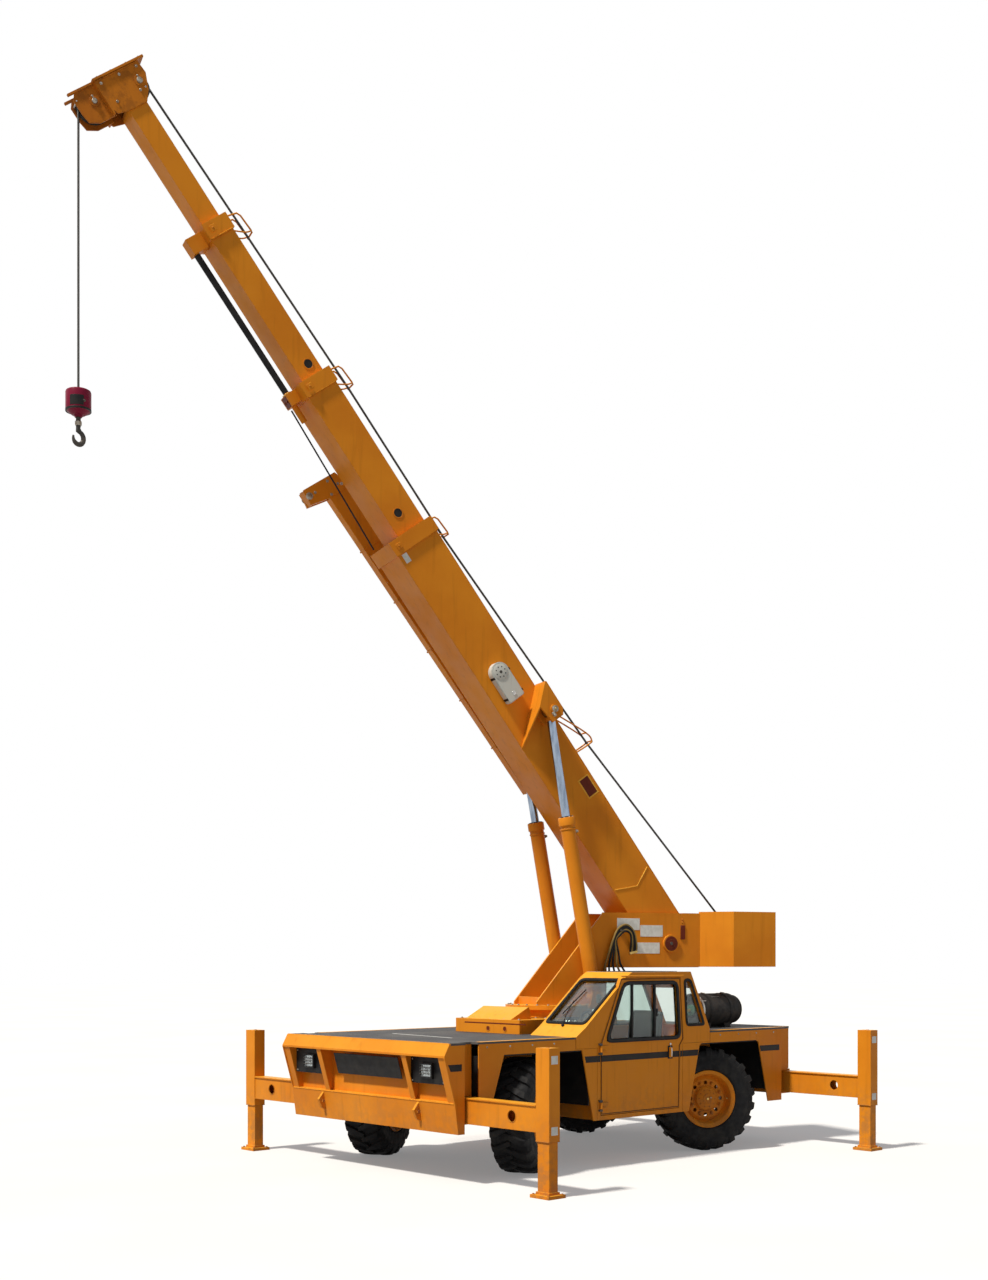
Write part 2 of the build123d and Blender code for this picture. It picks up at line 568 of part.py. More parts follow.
def counterweight():
    """Weight between and behind the turret plates, with the winch in its well and a slot for the rope."""
    a, b = PLATE_X
    inner, flank, rear = CW_FRONT + 87, CW_FRONT + 258, CW_FRONT + 789
    outline = [(-a, inner), (-a, CW_FRONT), (-b, CW_FRONT), (-CW_HALF, flank), (-CW_HALF, rear),
               (CW_HALF, rear), (CW_HALF, flank), (b, CW_FRONT), (a, CW_FRONT), (a, inner)]
    mass = plan_prism(outline, *CW_Z)
    half = WELL_X
    mass -= block(-half, half, WINCH_AT[0] - 240, WINCH_AT[0] + 240, CW_Z[0] + 175, CW_Z[1] + 1)
    mass -= block(-half, half, inner - 45, WINCH_AT[0] - 239, WINCH_AT[1] + 40, CW_Z[1] + 1)
    return mass


def winch():
    y, z = WINCH_AT
    drum = rod((-170, y, z), (170, y, z), 105)
    for x in (-180.0, 160.0):
        drum += rod((x, y, z), (x + 20, y, z), 165)
    reach = WELL_X - SLIDE
    drum += rod((-reach, y, z), (reach, y, z), 45)
    return drum


# ---------------------------------------------------------------- boom (own frame: x, -along, above)
def tube_stage(name):
    half, low, high, start, end, wall = STAGES[name]
    tube = block(-half, half, -end, -start, low, high)
    tube -= block(-half + wall, half - wall, -end - 1, -start + 1, low + wall, high - wall)
    return tube


def collar(name, thick, depth):
    half, low, high, start, end, wall = STAGES[name]
    ring = block(-half - thick, half + thick, -end, -end + depth, low - thick, high + thick)
    return ring - block(-half, half, -end - 1, -end + depth + 1, low, high)


def end_ring(name, inner):
    """Closes the mouth of a stage round the next one, with running clearance."""
    half, low, high, start, end, wall = STAGES[name]
    in_half, in_low, in_high = STAGES[inner][:3]
    ring = block(-half, half, -end, -end + 25, low, high)
    return ring - block(-in_half - RUN, in_half + RUN, -end - 1, -end + 26, in_low - RUN, in_high + RUN)


def rear_pads(name, outer):
    """Side wear pads at a stage's inner end, running on the walls of the stage round it."""
    half, low, high, start, end, wall = STAGES[name]
    reach = STAGES[outer][0] - STAGES[outer][5] - SLIDE
    middle = (low + high) / 2
    return [block(*spread(half, reach, side), -start - 120, -start, middle - 60, middle + 60)
            for side in (1, -1)]


def boom_base():
    half, low, high, start, end, wall = STAGES["base"]
    mouth = end_ring("base", "two") - line_way(end)
    tube = joined([tube_stage("base"), collar("base", 20.0, COLLAR), mouth])
    # foot: cross tube for the pin, clear of stage two
    reach = PLATE_X[0] - SLIDE
    tube += rod((-reach, 0, 0), (reach, 0, 0), 85)
    tube -= rod((-reach - 1, 0, 0), (reach + 1, 0, 0), PIVOT_R + PIN_RUN)
    return tube


def line_way(end):
    """Hole that lets the cable tube pass through a stage's mouth."""
    z = STAGES["two"][1] - LINE_TUBE_DROP
    return rod((0, -end - 1, z), (0, -end + 26, z), LINE_TUBE_R + RUN)


def lift_brackets():
    """Pair of plates at each side for the rod's pin, with a raked web that runs out on the boom's low edge."""
    half, low, high, start, end, wall = STAGES["base"]
    along, above = CYL_PIN
    head = (-along - EAR_AHEAD, above + EAR_TOP)
    tip = (head[0] + WEB_BACK, low)
    share = 0.4
    foot = (head[0] + WEB_BACK * share, head[1] + (tip[1] - head[1]) * share)
    ear = [head, (-along + 40, above + EAR_TOP), (-along + 100, above + 50), (-along + 100, above - 90), foot]
    rake = hypot(WEB_BACK, head[1] - low)
    outer = EAR_X[1] - half
    parts = []
    for side in (1, -1):
        face = Plane(origin=(side * half, *head), x_dir=(side, 0, 0),
                     z_dir=(0, side * (tip[1] - head[1]), -side * WEB_BACK))
        down = 1 if (face.y_dir.Z < 0) else -1
        web = [(0, 0), (outer, 0), (outer, down * rake * share), (0, down * rake)]
        raked = extrude(face * Polygon(*web, align=None), WEB_T, dir=(0, tip[1] - head[1], -WEB_BACK))
        inner = side_prism(ear, *spread(half, half + EAR_PLATE, side))
        plate = side_prism(ear, *spread(*EAR_X, side))
        boss = rod((side * EAR_X[0], -along, above), (side * (EAR_X[1] + 15), -along, above), 45)
        parts.append(joined([inner, plate, raked, boss]))
    return parts


def stage(name, thick, outer, inner):
    return joined([tube_stage(name), collar(name, thick, COLLAR), end_ring(name, inner), *rear_pads(name, outer)])


def stage_two():
    half, low, high, start, end, wall = STAGES["two"]
    solid = stage("two", 18.0, "base", "three")
    z = low - LINE_TUBE_DROP
    bracket = block(-75, 75, -end + 5, -end + 125, z - 48, low - 18)
    bracket -= rod((0, -end - 1, z), (0, -end + 126, z), LINE_TUBE_R + SLIDE)
    return solid + bracket


def stage_three():
    """Third stage with the tube that carries its cable along the underside, through stage two's guide."""
    half, low, high, start, end, wall = STAGES["three"]
    solid = stage("three", 16.0, "two", "four")
    z = STAGES["two"][1] - LINE_TUBE_DROP
    carrier = block(-60, 60, -end + 20, -end + 170, z - 42, low - 16)
    tube = pipe((0, -end + 170, z), (0, -STAGES["two"][4] + 300, z), LINE_TUBE_R, LINE_TUBE_R - 6)
    return joined([solid, carrier, tube])


def stage_four():
    return joined([tube_stage("four"), *rear_pads("four", "three")])


def boom_head():
    """Open box head: side cheeks, a narrower housing for the hoist sheaves below, and the end plate."""
    half, low, high, start, end, wall = STAGES["four"]
    along, above = SHEAVE_AT
    cheek = [(-end + 20, high), (-end + 20, low), (-end, -110), (-end - 60, -150), (-HEAD_END + 20, -150),
             (-HEAD_END + 20, 330), (-9640, 340), (-end - 60, 270)]
    round_ = SHEAVE_R + 22
    housing = [(-end - 10, -110), (-end - 10, above - 60), (-end - 55, above - round_ + 15),
               (-along + 50, above - round_), (-along - 80, above - round_), (-HEAD_END + 20, above - 130),
               (-HEAD_END + 20, -110)]
    reach = SHEAVE_PACK + 6
    parts = []
    for side in (1, -1):
        parts.append(side_prism(cheek, *spread(half, half + 14, side)))
        parts.append(side_prism(housing, *spread(reach, reach + 12, side)))
        parts.append(block(*spread(reach, half + 14, side), -HEAD_END + 20, -end - 10, -150, -136))
        parts.append(block(*spread(reach, reach + 26, side), -HEAD_END, -HEAD_END + 20, -420, -100))
    parts.append(block(-half - 30, half + 30, -HEAD_END, -HEAD_END + 20, -160, 400)
                 - block(-reach + 3, reach - 3, -HEAD_END - 1, -HEAD_END + 21, -161, -60))
    parts.append(block(-half, half, -end - 20, -end, low, high))
    parts.append(block(-half, half, -HEAD_END + 20, -HEAD_END + 60, -30, 60))
    return joined(parts)


def head_sheaves():
    """Three hoist sheaves on one pin below the boom's line, one guide sheave above it."""
    half = STAGES["four"][0]
    pitch = 2 * SHEAVE_PACK / 3
    parts = []
    for place, r, offsets, reach in ((SHEAVE_AT, SHEAVE_R, (-pitch, 0.0, pitch), SHEAVE_PACK + 6),
                                     (GUIDE_AT, GUIDE_R, (0.0,), half)):
        along, above = place
        wheels = [rod((-reach, -along, above), (reach, -along, above), 25)]
        for x in offsets:
            wheel = rod((x - 16, -along, above), (x + 16, -along, above), r)
            root = r - (SHEAVE_R - SHEAVE_PITCH) - ROPE_R - SLIDE
            wheels.append(wheel - pipe((x - 12, -along, above), (x + 12, -along, above), r + 1, root))
        parts.append(joined(wheels))
    return parts


def cable_reel():
    half = STAGES["base"][0]
    start = CYL_PIN[0] + EAR_AHEAD
    return block(half, half + 90, -start - 430, -start - 15, -90, 110)


def jib():
    """Stowed box-section extension on the boom's right side, with its fork bracket at the far end."""
    x0, x1 = JIB_X
    tip, root = JIB_SPAN
    low = (-95.0, -150.0)              # underside at the tip and the root
    high = (60.0, 85.0)

    def level(edge, along):
        return edge[0] + (edge[1] - edge[0]) * (along - tip) / (root - tip)

    skin = side_prism([(-tip, low[0]), (-root, low[1]), (-root, high[1]), (-tip, high[0])], x0, x1)
    wall = JIB_WALL
    hollow = side_prism([(-tip - wall, low[0] + wall), (-root + wall, low[1] + wall),
                         (-root + wall, high[1] - wall), (-tip - wall, high[0] - wall)], x0 + wall, x1 - wall)
    parts = [skin - hollow]
    for k in range(1, 6):
        along = tip + (root - tip) * k / 6
        parts.append(block(x0 - 8, x1 + 8, -along - 8, -along + 8, level(low, along) - 8, level(high, along) + 8))
    for x in (x0 - 14, x1 - 14):
        parts.append(side_prism([(-root, high[1]), (-root, low[1]), (-root - 40, -375), (-root - 200, -350),
                                 (-root - 185, 40), (-root - 60, 85)], x, x + 28))
    parts.append(block(x0 - 14, x1 + 14, -root - 190, -root - 40, -365, -320))
    for along in JIB_ARMS:
        top = level(high, along)
        parts.append(block(x0, -STAGES["base"][0], -along - 60, -along, top - 50, top))
    return joined(parts)


# ---------------------------------------------------------------- lift cylinders (own frame: base pin, +Z to rod)
def boom_point(along, above):
    e = radians(LUFF_REST)
    return (PIVOT[0] - along * cos(e) + above * sin(e), PIVOT[1] + along * sin(e) + above * cos(e))


PIN_AT = boom_point(*CYL_PIN)
CYL_LEN = hypot(PIN_AT[0] - CYL_BASE[0], PIN_AT[1] - CYL_BASE[1])
CYL_TILT = degrees(atan2(-(PIN_AT[0] - CYL_BASE[0]), PIN_AT[1] - CYL_BASE[1]))


def lift_barrel():
    body = rod((0, 0, 110), (0, 0, BARREL_LEN - 60), BARREL_R)
    body += rod((0, 0, BARREL_LEN - 60), (0, 0, BARREL_LEN), BARREL_R + 6)
    body += rod((-50, 0, 0), (50, 0, 0), 62)
    body += block(-50, 50, -50, 50, 0, 110)
    body -= rod((0, 0, 260), (0, 0, BARREL_LEN + 1), ROD_R + SLIDE)
    body -= rod((-60, 0, 0), (60, 0, 0), 32 + PIN_RUN)
    return body


def lift_rod():
    shaft = rod((0, 0, BARREL_LEN - 550), (0, 0, CYL_LEN - 40), ROD_R)
    eye = rod((-48, 0, CYL_LEN), (48, 0, CYL_LEN), 68)
    return shaft + eye - rod((-60, 0, CYL_LEN), (60, 0, CYL_LEN), 32)


# ---------------------------------------------------------------- hook (own frame: x, y from the line; z is height)
def hoist_line(top):
    return rod((0, 0, BLOCK_Z[1]), (0, 0, top), ROPE_R)


def hook_block():
    low, high = BLOCK_Z
    body = rod((0, 0, low + 60), (0, 0, high - 40), 75)
    body += Pos(0, 0, high - 20) * Cone(75, 30, 40)
    body += Pos(0, 0, low + 45) * Cone(45, 75, 30)
    return body + rod((0, 0, low), (0, 0, low + 40), 30)


def hook():
    low = HOOK_TIP_Z
    mid = low + 95.0
    bar = [(70 + 22 * cos(radians(45 * k + 22.5)), 22 * sin(radians(45 * k + 22.5))) for k in range(8)]
    ring = revolve(Plane.XZ * Polygon(*bar, align=None), Axis.Z)
    bend = Pos(0, 0, mid) * Rot(90, 0, 0) * ring
    bend -= block(0, 120, -40, 40, mid + 5, mid + 120)
    stem = rod((0, 0, mid + 60), (0, 0, BLOCK_Z[0] - SLIDE), 24)
    return bend + stem


# ---------------------------------------------------------------- assembly
def on_boom(shape):
    e = radians(LUFF_REST)
    place = Plane(origin=(0, *PIVOT), x_dir=(1, 0, 0), z_dir=(0, sin(e), cos(e)))
    return place.location * shape


def on_turret(shape):
    return Location((0, SWING_Y, 0), (0, 0, SWING_REST)) * shape


def steered(shape, side, y):
    angle = STEER_REST[0] if y == AXLE_Y[0] else STEER_REST[1]
    centre = (side * KINGPIN_X, y, 0)
    return Location(centre, (0, 0, angle)) * (Pos(-centre[0], -y, 0) * shape)


def group(pieces):
    return Compound(pieces) if isinstance(pieces, list) else pieces


def add(name, shape):
    PARTS[name] = shape


def fill():
    add("chassis_frame", chassis_frame())
    add("nose_panel", nose_panel())
    add("front_lamps", front_lamps())
    add("deck_plate", deck_plate())
    add("wheel_wells", wheel_wells())
    add("body_side_left", body_side(1))
    add("body_side_right", body_side(-1))
    add("tail_panel", tail_panel())
    add("right_tank", right_tank())
    add("engine_block", engine_block())
    add("cab_body", cab_shell())
    add("cab_glass", cab_glass())
    add("cab_seat", cab_seat())
    add("cab_controls", cab_controls())
    add("cab_hinge_pins", cab_hinge_pins())
    add("cab_door", cab_door())
    add("cab_door_glass", cab_door_glass())
    add("air_cleaner", air_cleaner())
    add("turret_pedestal", turret_pedestal())
    add("front_axle", axle(AXLE_Y[0]))
    add("rear_axle", axle(AXLE_Y[1]))
    for end, y in (("front", AXLE_Y[0]), ("rear", AXLE_Y[1])):
        for word, side in (("left", 1), ("right", -1)):
            add(f"knuckle_{end}_{word}", steered(knuckle(side, y), side, y))
            add(f"rim_{end}_{word}", steered(rim(side, y), side, y))
            add(f"tyre_{end}_{word}", steered(tyre(side, y), side, y))
    for end, y in (("front", OUT_Y[0]), ("rear", OUT_Y[1])):
        for word, side in (("left", 1), ("right", -1)):
            add(f"outrigger_beam_{end}_{word}", outrigger_beam(side, y))
            add(f"outrigger_leg_{end}_{word}", outrigger_leg(side, y))
    add("turret_table", on_turret(turret_table()))
    add("counterweight", on_turret(counterweight()))
    add("winch", on_turret(winch()))
    for name, shape in (("boom_base", boom_base()), ("lift_brackets", lift_brackets()),
                        ("boom_stage_two", stage_two()),
                        ("boom_stage_three", stage_three()),
                        ("boom_stage_four", stage_four()), ("boom_head", boom_head()),
                        ("head_sheaves", head_sheaves()), ("stowed_jib", jib()), ("cable_reel", cable_reel())):
        pieces = shape if isinstance(shape, list) else [shape]
        add(name, [on_turret(on_boom(p)) for p in pieces])
    for word, side in (("left", 1), ("right", -1)):
        spot = Location((side * CYL_X, *CYL_BASE), (CYL_TILT, 0, 0))
        add(f"lift_barrel_{word}", on_turret(spot * lift_barrel()))
        add(f"lift_rod_{word}", on_turret(spot * lift_rod()))
    y, z = boom_point(*SHEAVE_AT)
    y -= SHEAVE_PITCH
    for name, shape in (("hoist_line", hoist_line(z)), ("hook_block", hook_block()), ("hook", hook())):
        add(name, on_turret(Pos(0, y, 0) * shape))


fill()
FLAT = {name: group(shape) for name, shape in PARTS.items()}
BOXES = [shape.bounding_box() for shape in FLAT.values()]
LOW = [min(getattr(box.min, axis) for box in BOXES) for axis in "XYZ"]
HIGH = [max(getattr(box.max, axis) for box in BOXES) for axis in "XYZ"]
SHIFT = (-(LOW[0] + HIGH[0]) / 2, -(LOW[1] + HIGH[1]) / 2, -LOW[2])
os.makedirs("parts", exist_ok=True)
for name, shape in FLAT.items():
    moved = Pos(*SHIFT) * shape
    export_step(moved, f"parts/{name}.step")
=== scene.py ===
import json
from math import atan2, copysign, cos, degrees, exp, pi, radians, sin, tau

import bmesh
import bpy
from mathutils import Matrix, Vector


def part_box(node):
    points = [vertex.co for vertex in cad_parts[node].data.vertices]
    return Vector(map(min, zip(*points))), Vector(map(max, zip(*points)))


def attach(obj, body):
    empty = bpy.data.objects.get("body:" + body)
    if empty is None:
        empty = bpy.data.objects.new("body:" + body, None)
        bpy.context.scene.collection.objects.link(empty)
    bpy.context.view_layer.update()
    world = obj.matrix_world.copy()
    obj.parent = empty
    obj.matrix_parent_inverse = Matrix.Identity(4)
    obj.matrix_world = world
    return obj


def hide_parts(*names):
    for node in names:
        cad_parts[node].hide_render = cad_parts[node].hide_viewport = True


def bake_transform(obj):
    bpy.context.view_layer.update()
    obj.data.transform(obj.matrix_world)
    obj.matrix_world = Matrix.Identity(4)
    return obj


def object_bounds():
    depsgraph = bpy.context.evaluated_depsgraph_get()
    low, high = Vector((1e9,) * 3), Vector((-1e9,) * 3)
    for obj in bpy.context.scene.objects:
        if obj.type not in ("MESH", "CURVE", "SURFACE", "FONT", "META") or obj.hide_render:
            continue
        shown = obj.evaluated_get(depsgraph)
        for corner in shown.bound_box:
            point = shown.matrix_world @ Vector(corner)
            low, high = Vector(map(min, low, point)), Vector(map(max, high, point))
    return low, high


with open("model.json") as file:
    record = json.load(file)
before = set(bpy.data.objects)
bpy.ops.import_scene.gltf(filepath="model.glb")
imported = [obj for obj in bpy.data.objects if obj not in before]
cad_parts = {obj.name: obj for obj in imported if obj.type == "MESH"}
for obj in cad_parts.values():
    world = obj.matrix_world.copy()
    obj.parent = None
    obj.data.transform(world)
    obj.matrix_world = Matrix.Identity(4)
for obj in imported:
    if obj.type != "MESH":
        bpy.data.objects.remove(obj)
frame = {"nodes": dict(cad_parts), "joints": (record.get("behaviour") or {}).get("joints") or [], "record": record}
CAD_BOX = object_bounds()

JOINTS = {joint["name"]: joint for joint in frame["joints"]}
SLOT_OF = {part["node"]: part["material_slot"] for part in frame["record"]["subparts"]}
SCENE = bpy.context.scene
X, Y, Z = Matrix.Identity(3)
ENDS = ("front", "rear")
SIDES = (("left", 1), ("right", -1))
BOTH = (1, -1)
PAINT, LOW, BLACK, SEAL = "orange_paint", "orange_low", "black_paint", "seal"
BOLT, BRIGHT, DARK, BRASS = "bolt_steel", "bright_steel", "dark_steel", "brass"


# ---------------- materials
class Tree:
    """Node tree of a material or world, with short ways to add and join its nodes."""

    def __init__(self, owner, output="OutputMaterial"):
        owner.use_nodes = True
        self.owner, self.tree = owner, owner.node_tree
        self.tree.nodes.clear()
        self.out = self.add(output)

    def add(self, kind, inputs=None, **attributes):
        node = self.tree.nodes.new("ShaderNode" + kind)
        for key, value in attributes.items():
            setattr(node, key, value)
        for key, value in (inputs or {}).items():
            socket = node.inputs[key]
            if isinstance(value, bpy.types.NodeSocket):
                self.tree.links.new(value, socket)
            else:
                socket.default_value = (*value, 1.0) if socket.type == "RGBA" else value
        return node

    def math(self, kind, a, b=0.0, clamp=False):
        return self.add("Math", {0: a, 1: b}, operation=kind, use_clamp=clamp).outputs[0]

    def times(self, a, b):
        return self.math("MULTIPLY", a, b)

    def mix(self, factor, a, b):
        return self.add("MixRGB", {"Fac": factor, "Color1": a, "Color2": b}).outputs["Color"]

    def blend(self, factor, a, b):
        return self.add("MixShader", {0: factor, 1: a, 2: b}).outputs[0]

    def step(self, value, low, high, out_low=0.0, out_high=1.0):
        return self.add("MapRange", {"Value": value, "From Min": low, "From Max": high, "To Min": out_low,
                "To Max": out_high}, interpolation_type="SMOOTHSTEP").outputs["Result"]

    def where(self, kind="Object"):
        return self.add("TexCoord").outputs[kind]

    def rise(self, kind):
        return self.add("SeparateXYZ", {0: self.where(kind)}).outputs["Z"]

    def noise(self, scale, detail=3.0, stretch=None, rough=0.55):
        where = self.where()
        if stretch:
            where = self.add("Mapping", {"Vector": where, "Scale": stretch}).outputs["Vector"]
        return self.add("TexNoise", {"Vector": where, "Scale": scale, "Detail": detail,
                "Roughness": rough}).outputs["Fac"]

    def patches(self, scale, detail, low, high, a, b):
        """Two colours in soft patches."""
        return self.mix(self.step(self.noise(scale, detail), low, high), a, b)

    def edge(self, radius):
        """1 on sharp edges, 0 on flat faces, and the rounded normal."""
        soft = self.add("Bevel", {"Radius": radius}, samples=4).outputs[0]
        flat = self.add("NewGeometry").outputs["Normal"]
        dot = self.add("VectorMath", {0: soft, 1: flat}, operation="DOT_PRODUCT").outputs["Value"]
        return self.step(dot, 0.999, 0.86), soft

    def bump(self, height, strength, distance=0.002, normal=None):
        inputs = {"Height": height, "Strength": strength, "Distance": distance}
        if normal:
            inputs["Normal"] = normal
        return self.add("Bump", inputs).outputs["Normal"]

    def surface(self, shader):
        self.tree.links.new(shader, self.out.inputs["Surface"])
        return self.owner

    def principled(self, colour, rough, normal, metal=0.0, shine=0.5, coat=0.0):
        return self.surface(self.add("BsdfPrincipled", {
                "Base Color": colour, "Roughness": rough, "Normal": normal, "Metallic": metal,
                "Specular IOR Level": shine, "Coat Weight": coat}).outputs[0])


def material(name):
    return Tree(bpy.data.materials.new(name))


def painted(name, base, deep, wear_and_highlight, dust=0.35, rough=0.36, rust=0.0):
    """Enamel on plate: patchy fade, painted highlight on upward faces, run-off streaks, dust low down, worn edges with
    a painted highlight, orange peel.
    """
    t = material(name)
    colour = t.patches(1.1, 5.0, 0.35, 0.68, base, deep)
    # painted light on upward faces: they are mixed towards the edge colour, as if lit from above
    colour = t.mix(t.step(t.rise("Normal"), 0.25, 0.9, 0.0, 0.55), colour, wear_and_highlight)
    streak = t.step(t.noise(3.0, 4.0, (6.0, 6.0, 0.45)), 0.52, 0.74)
    colour = t.mix(t.times(streak, 0.28), colour, [v * 0.62 for v in deep])
    low = t.step(t.math("ADD", t.rise("Object"), t.times(t.noise(5.0), -0.5)), 0.62, -0.15)
    grime = t.times(t.times(low, t.step(t.noise(14.0, 5.0), 0.38, 0.6)), dust)
    colour = t.mix(grime, colour, (0.16, 0.115, 0.075))
    edge, soft = t.edge(0.006)
    # worn edges with a painted highlight: a patchy edge mask mixes in the lighter edge colour
    scuff_and_highlight = t.times(edge, t.step(t.noise(22.0, 4.0), 0.40, 0.62))
    colour = t.mix(t.times(scuff_and_highlight, 0.5), colour, wear_and_highlight)
    if rust:
        patch = t.step(t.noise(7.0, 6.0, rough=0.7), 0.46, 0.62)
        colour = t.mix(t.times(patch, rust), colour, (0.10, 0.035, 0.012))
    gloss = t.math("ADD", t.step(t.noise(4.0, 4.0), 0.3, 0.7, rough - 0.07, rough + 0.12), t.times(grime, 0.4))
    peel = t.bump(t.noise(260.0, 2.0), 0.05, 0.001, soft)
    return t.principled(colour, gloss, t.bump(t.noise(3.5, 2.0), 0.10, 0.004, peel), shine=0.10)


def plain(name, base, other, rough=0.5, metal=0.0, scale=9.0, grain=0.08, size=90.0, coat=0.0):
    """Two shades in soft patches over a fine grain, with a painted highlight that makes the edges lighter."""
    t = material(name)
    edge, soft = t.edge(0.003)
    # painted highlight: edges are mixed towards a lighter copy of the base colour
    colour = t.mix(t.times(edge, 0.35), t.patches(scale, 5.0, 0.36, 0.66, base, other),
        [min(1.0, v * 1.8 + 0.02) for v in base])
    gloss = t.step(t.noise(scale * 1.7, 4.0), 0.3, 0.7, rough - 0.06, rough + 0.10)
    return t.principled(colour, gloss, t.bump(t.noise(size, 3.0), grain, 0.001, soft), metal, 0.15, coat)


def deck_finish(name):
    """Black non-slip coating: coarse grit, lighter where boots and loads have rubbed it."""
    t = material(name)
    grit = t.noise(420.0, 2.0)
    colour = t.patches(1.6, 6.0, 0.42, 0.7, (0.040, 0.040, 0.042), (0.085, 0.080, 0.074))
    colour = t.mix(t.step(grit, 0.58, 0.72, 0.0, 0.5), colour, (0.16, 0.15, 0.14))
    scrape = t.step(t.noise(5.0, 6.0, (1.0, 9.0, 1.0)), 0.62, 0.75, 0.0, 0.5)
    return t.principled(t.mix(scrape, colour, (0.17, 0.16, 0.15)), t.step(grit, 0.3, 0.7, 0.68, 0.92),
        t.bump(grit, 0.7))


def rubber(name, base, dust):
    t = material(name)
    colour = t.mix(t.step(t.noise(9.0, 6.0), 0.44, 0.74, 0.0, 0.75), base, dust)
    return t.principled(colour, t.step(t.noise(20.0), 0.3, 0.7, 0.58, 0.82), t.bump(t.noise(70.0, 5.0), 0.22),
        shine=0.14)


def chromed(name):
    """Hard chrome with the faint rings that seals leave."""
    t = material(name)
    film = t.noise(6.0, 4.0, (4.0, 4.0, 1.0))
    colour = t.mix(t.step(film, 0.35, 0.7), (0.33, 0.40, 0.50), (0.20, 0.25, 0.33))
    rings = t.bump(t.noise(120.0, 3.0, (1.0, 1.0, 3.0)), 0.04, 0.001)
    return t.principled(colour, t.step(film, 0.3, 0.7, 0.10, 0.24), rings, 1.0)


def glazed(name, tint, haze=0.05):
    """Flat safety glass: clear to look and light through, with a film of dust and a reflection."""
    t = material(name)
    film = t.step(t.noise(3.0, 6.0), 0.40, 0.78, 0.0, haze)
    clear = t.add("BsdfTransparent", {"Color": tint}).outputs[0]
    gloss = t.add("BsdfGlossy", {"Color": (0.9, 0.95, 1.0), "Roughness": 0.02}).outputs[0]
    dusty = t.add("BsdfDiffuse", {"Color": (0.55, 0.55, 0.5)}).outputs[0]
    grazing = t.math("POWER", t.add("LayerWeight").outputs["Facing"], 4.0)
    share = t.math("ADD", t.times(grazing, 0.7), 0.04)
    return t.surface(t.blend(film, t.blend(share, clear, gloss), dusty))


def roped(name, base, other, pitch):
    """Laid wire: a fast slanting wave across the strands."""
    t = material(name)
    lay = t.add("TexWave", {"Vector": t.where(), "Scale": pitch, "Distortion": 0.6, "Detail": 1.0},
        bands_direction="DIAGONAL").outputs["Fac"]
    return t.principled(t.mix(lay, base, other), t.step(lay, 0.0, 1.0, 0.62, 0.40), t.bump(lay, 0.5), 0.5)


def leather(name, base, other):
    """Grained vinyl with a fine crackle."""
    t = material(name)
    cells = t.add("TexVoronoi", {"Vector": t.where(), "Scale": 180.0}).outputs["Distance"]
    return t.principled(t.patches(7.0, 5.0, 0.4, 0.7, base, other), t.step(cells, 0.0, 0.8, 0.42, 0.62),
        t.bump(cells, 0.25, 0.001))


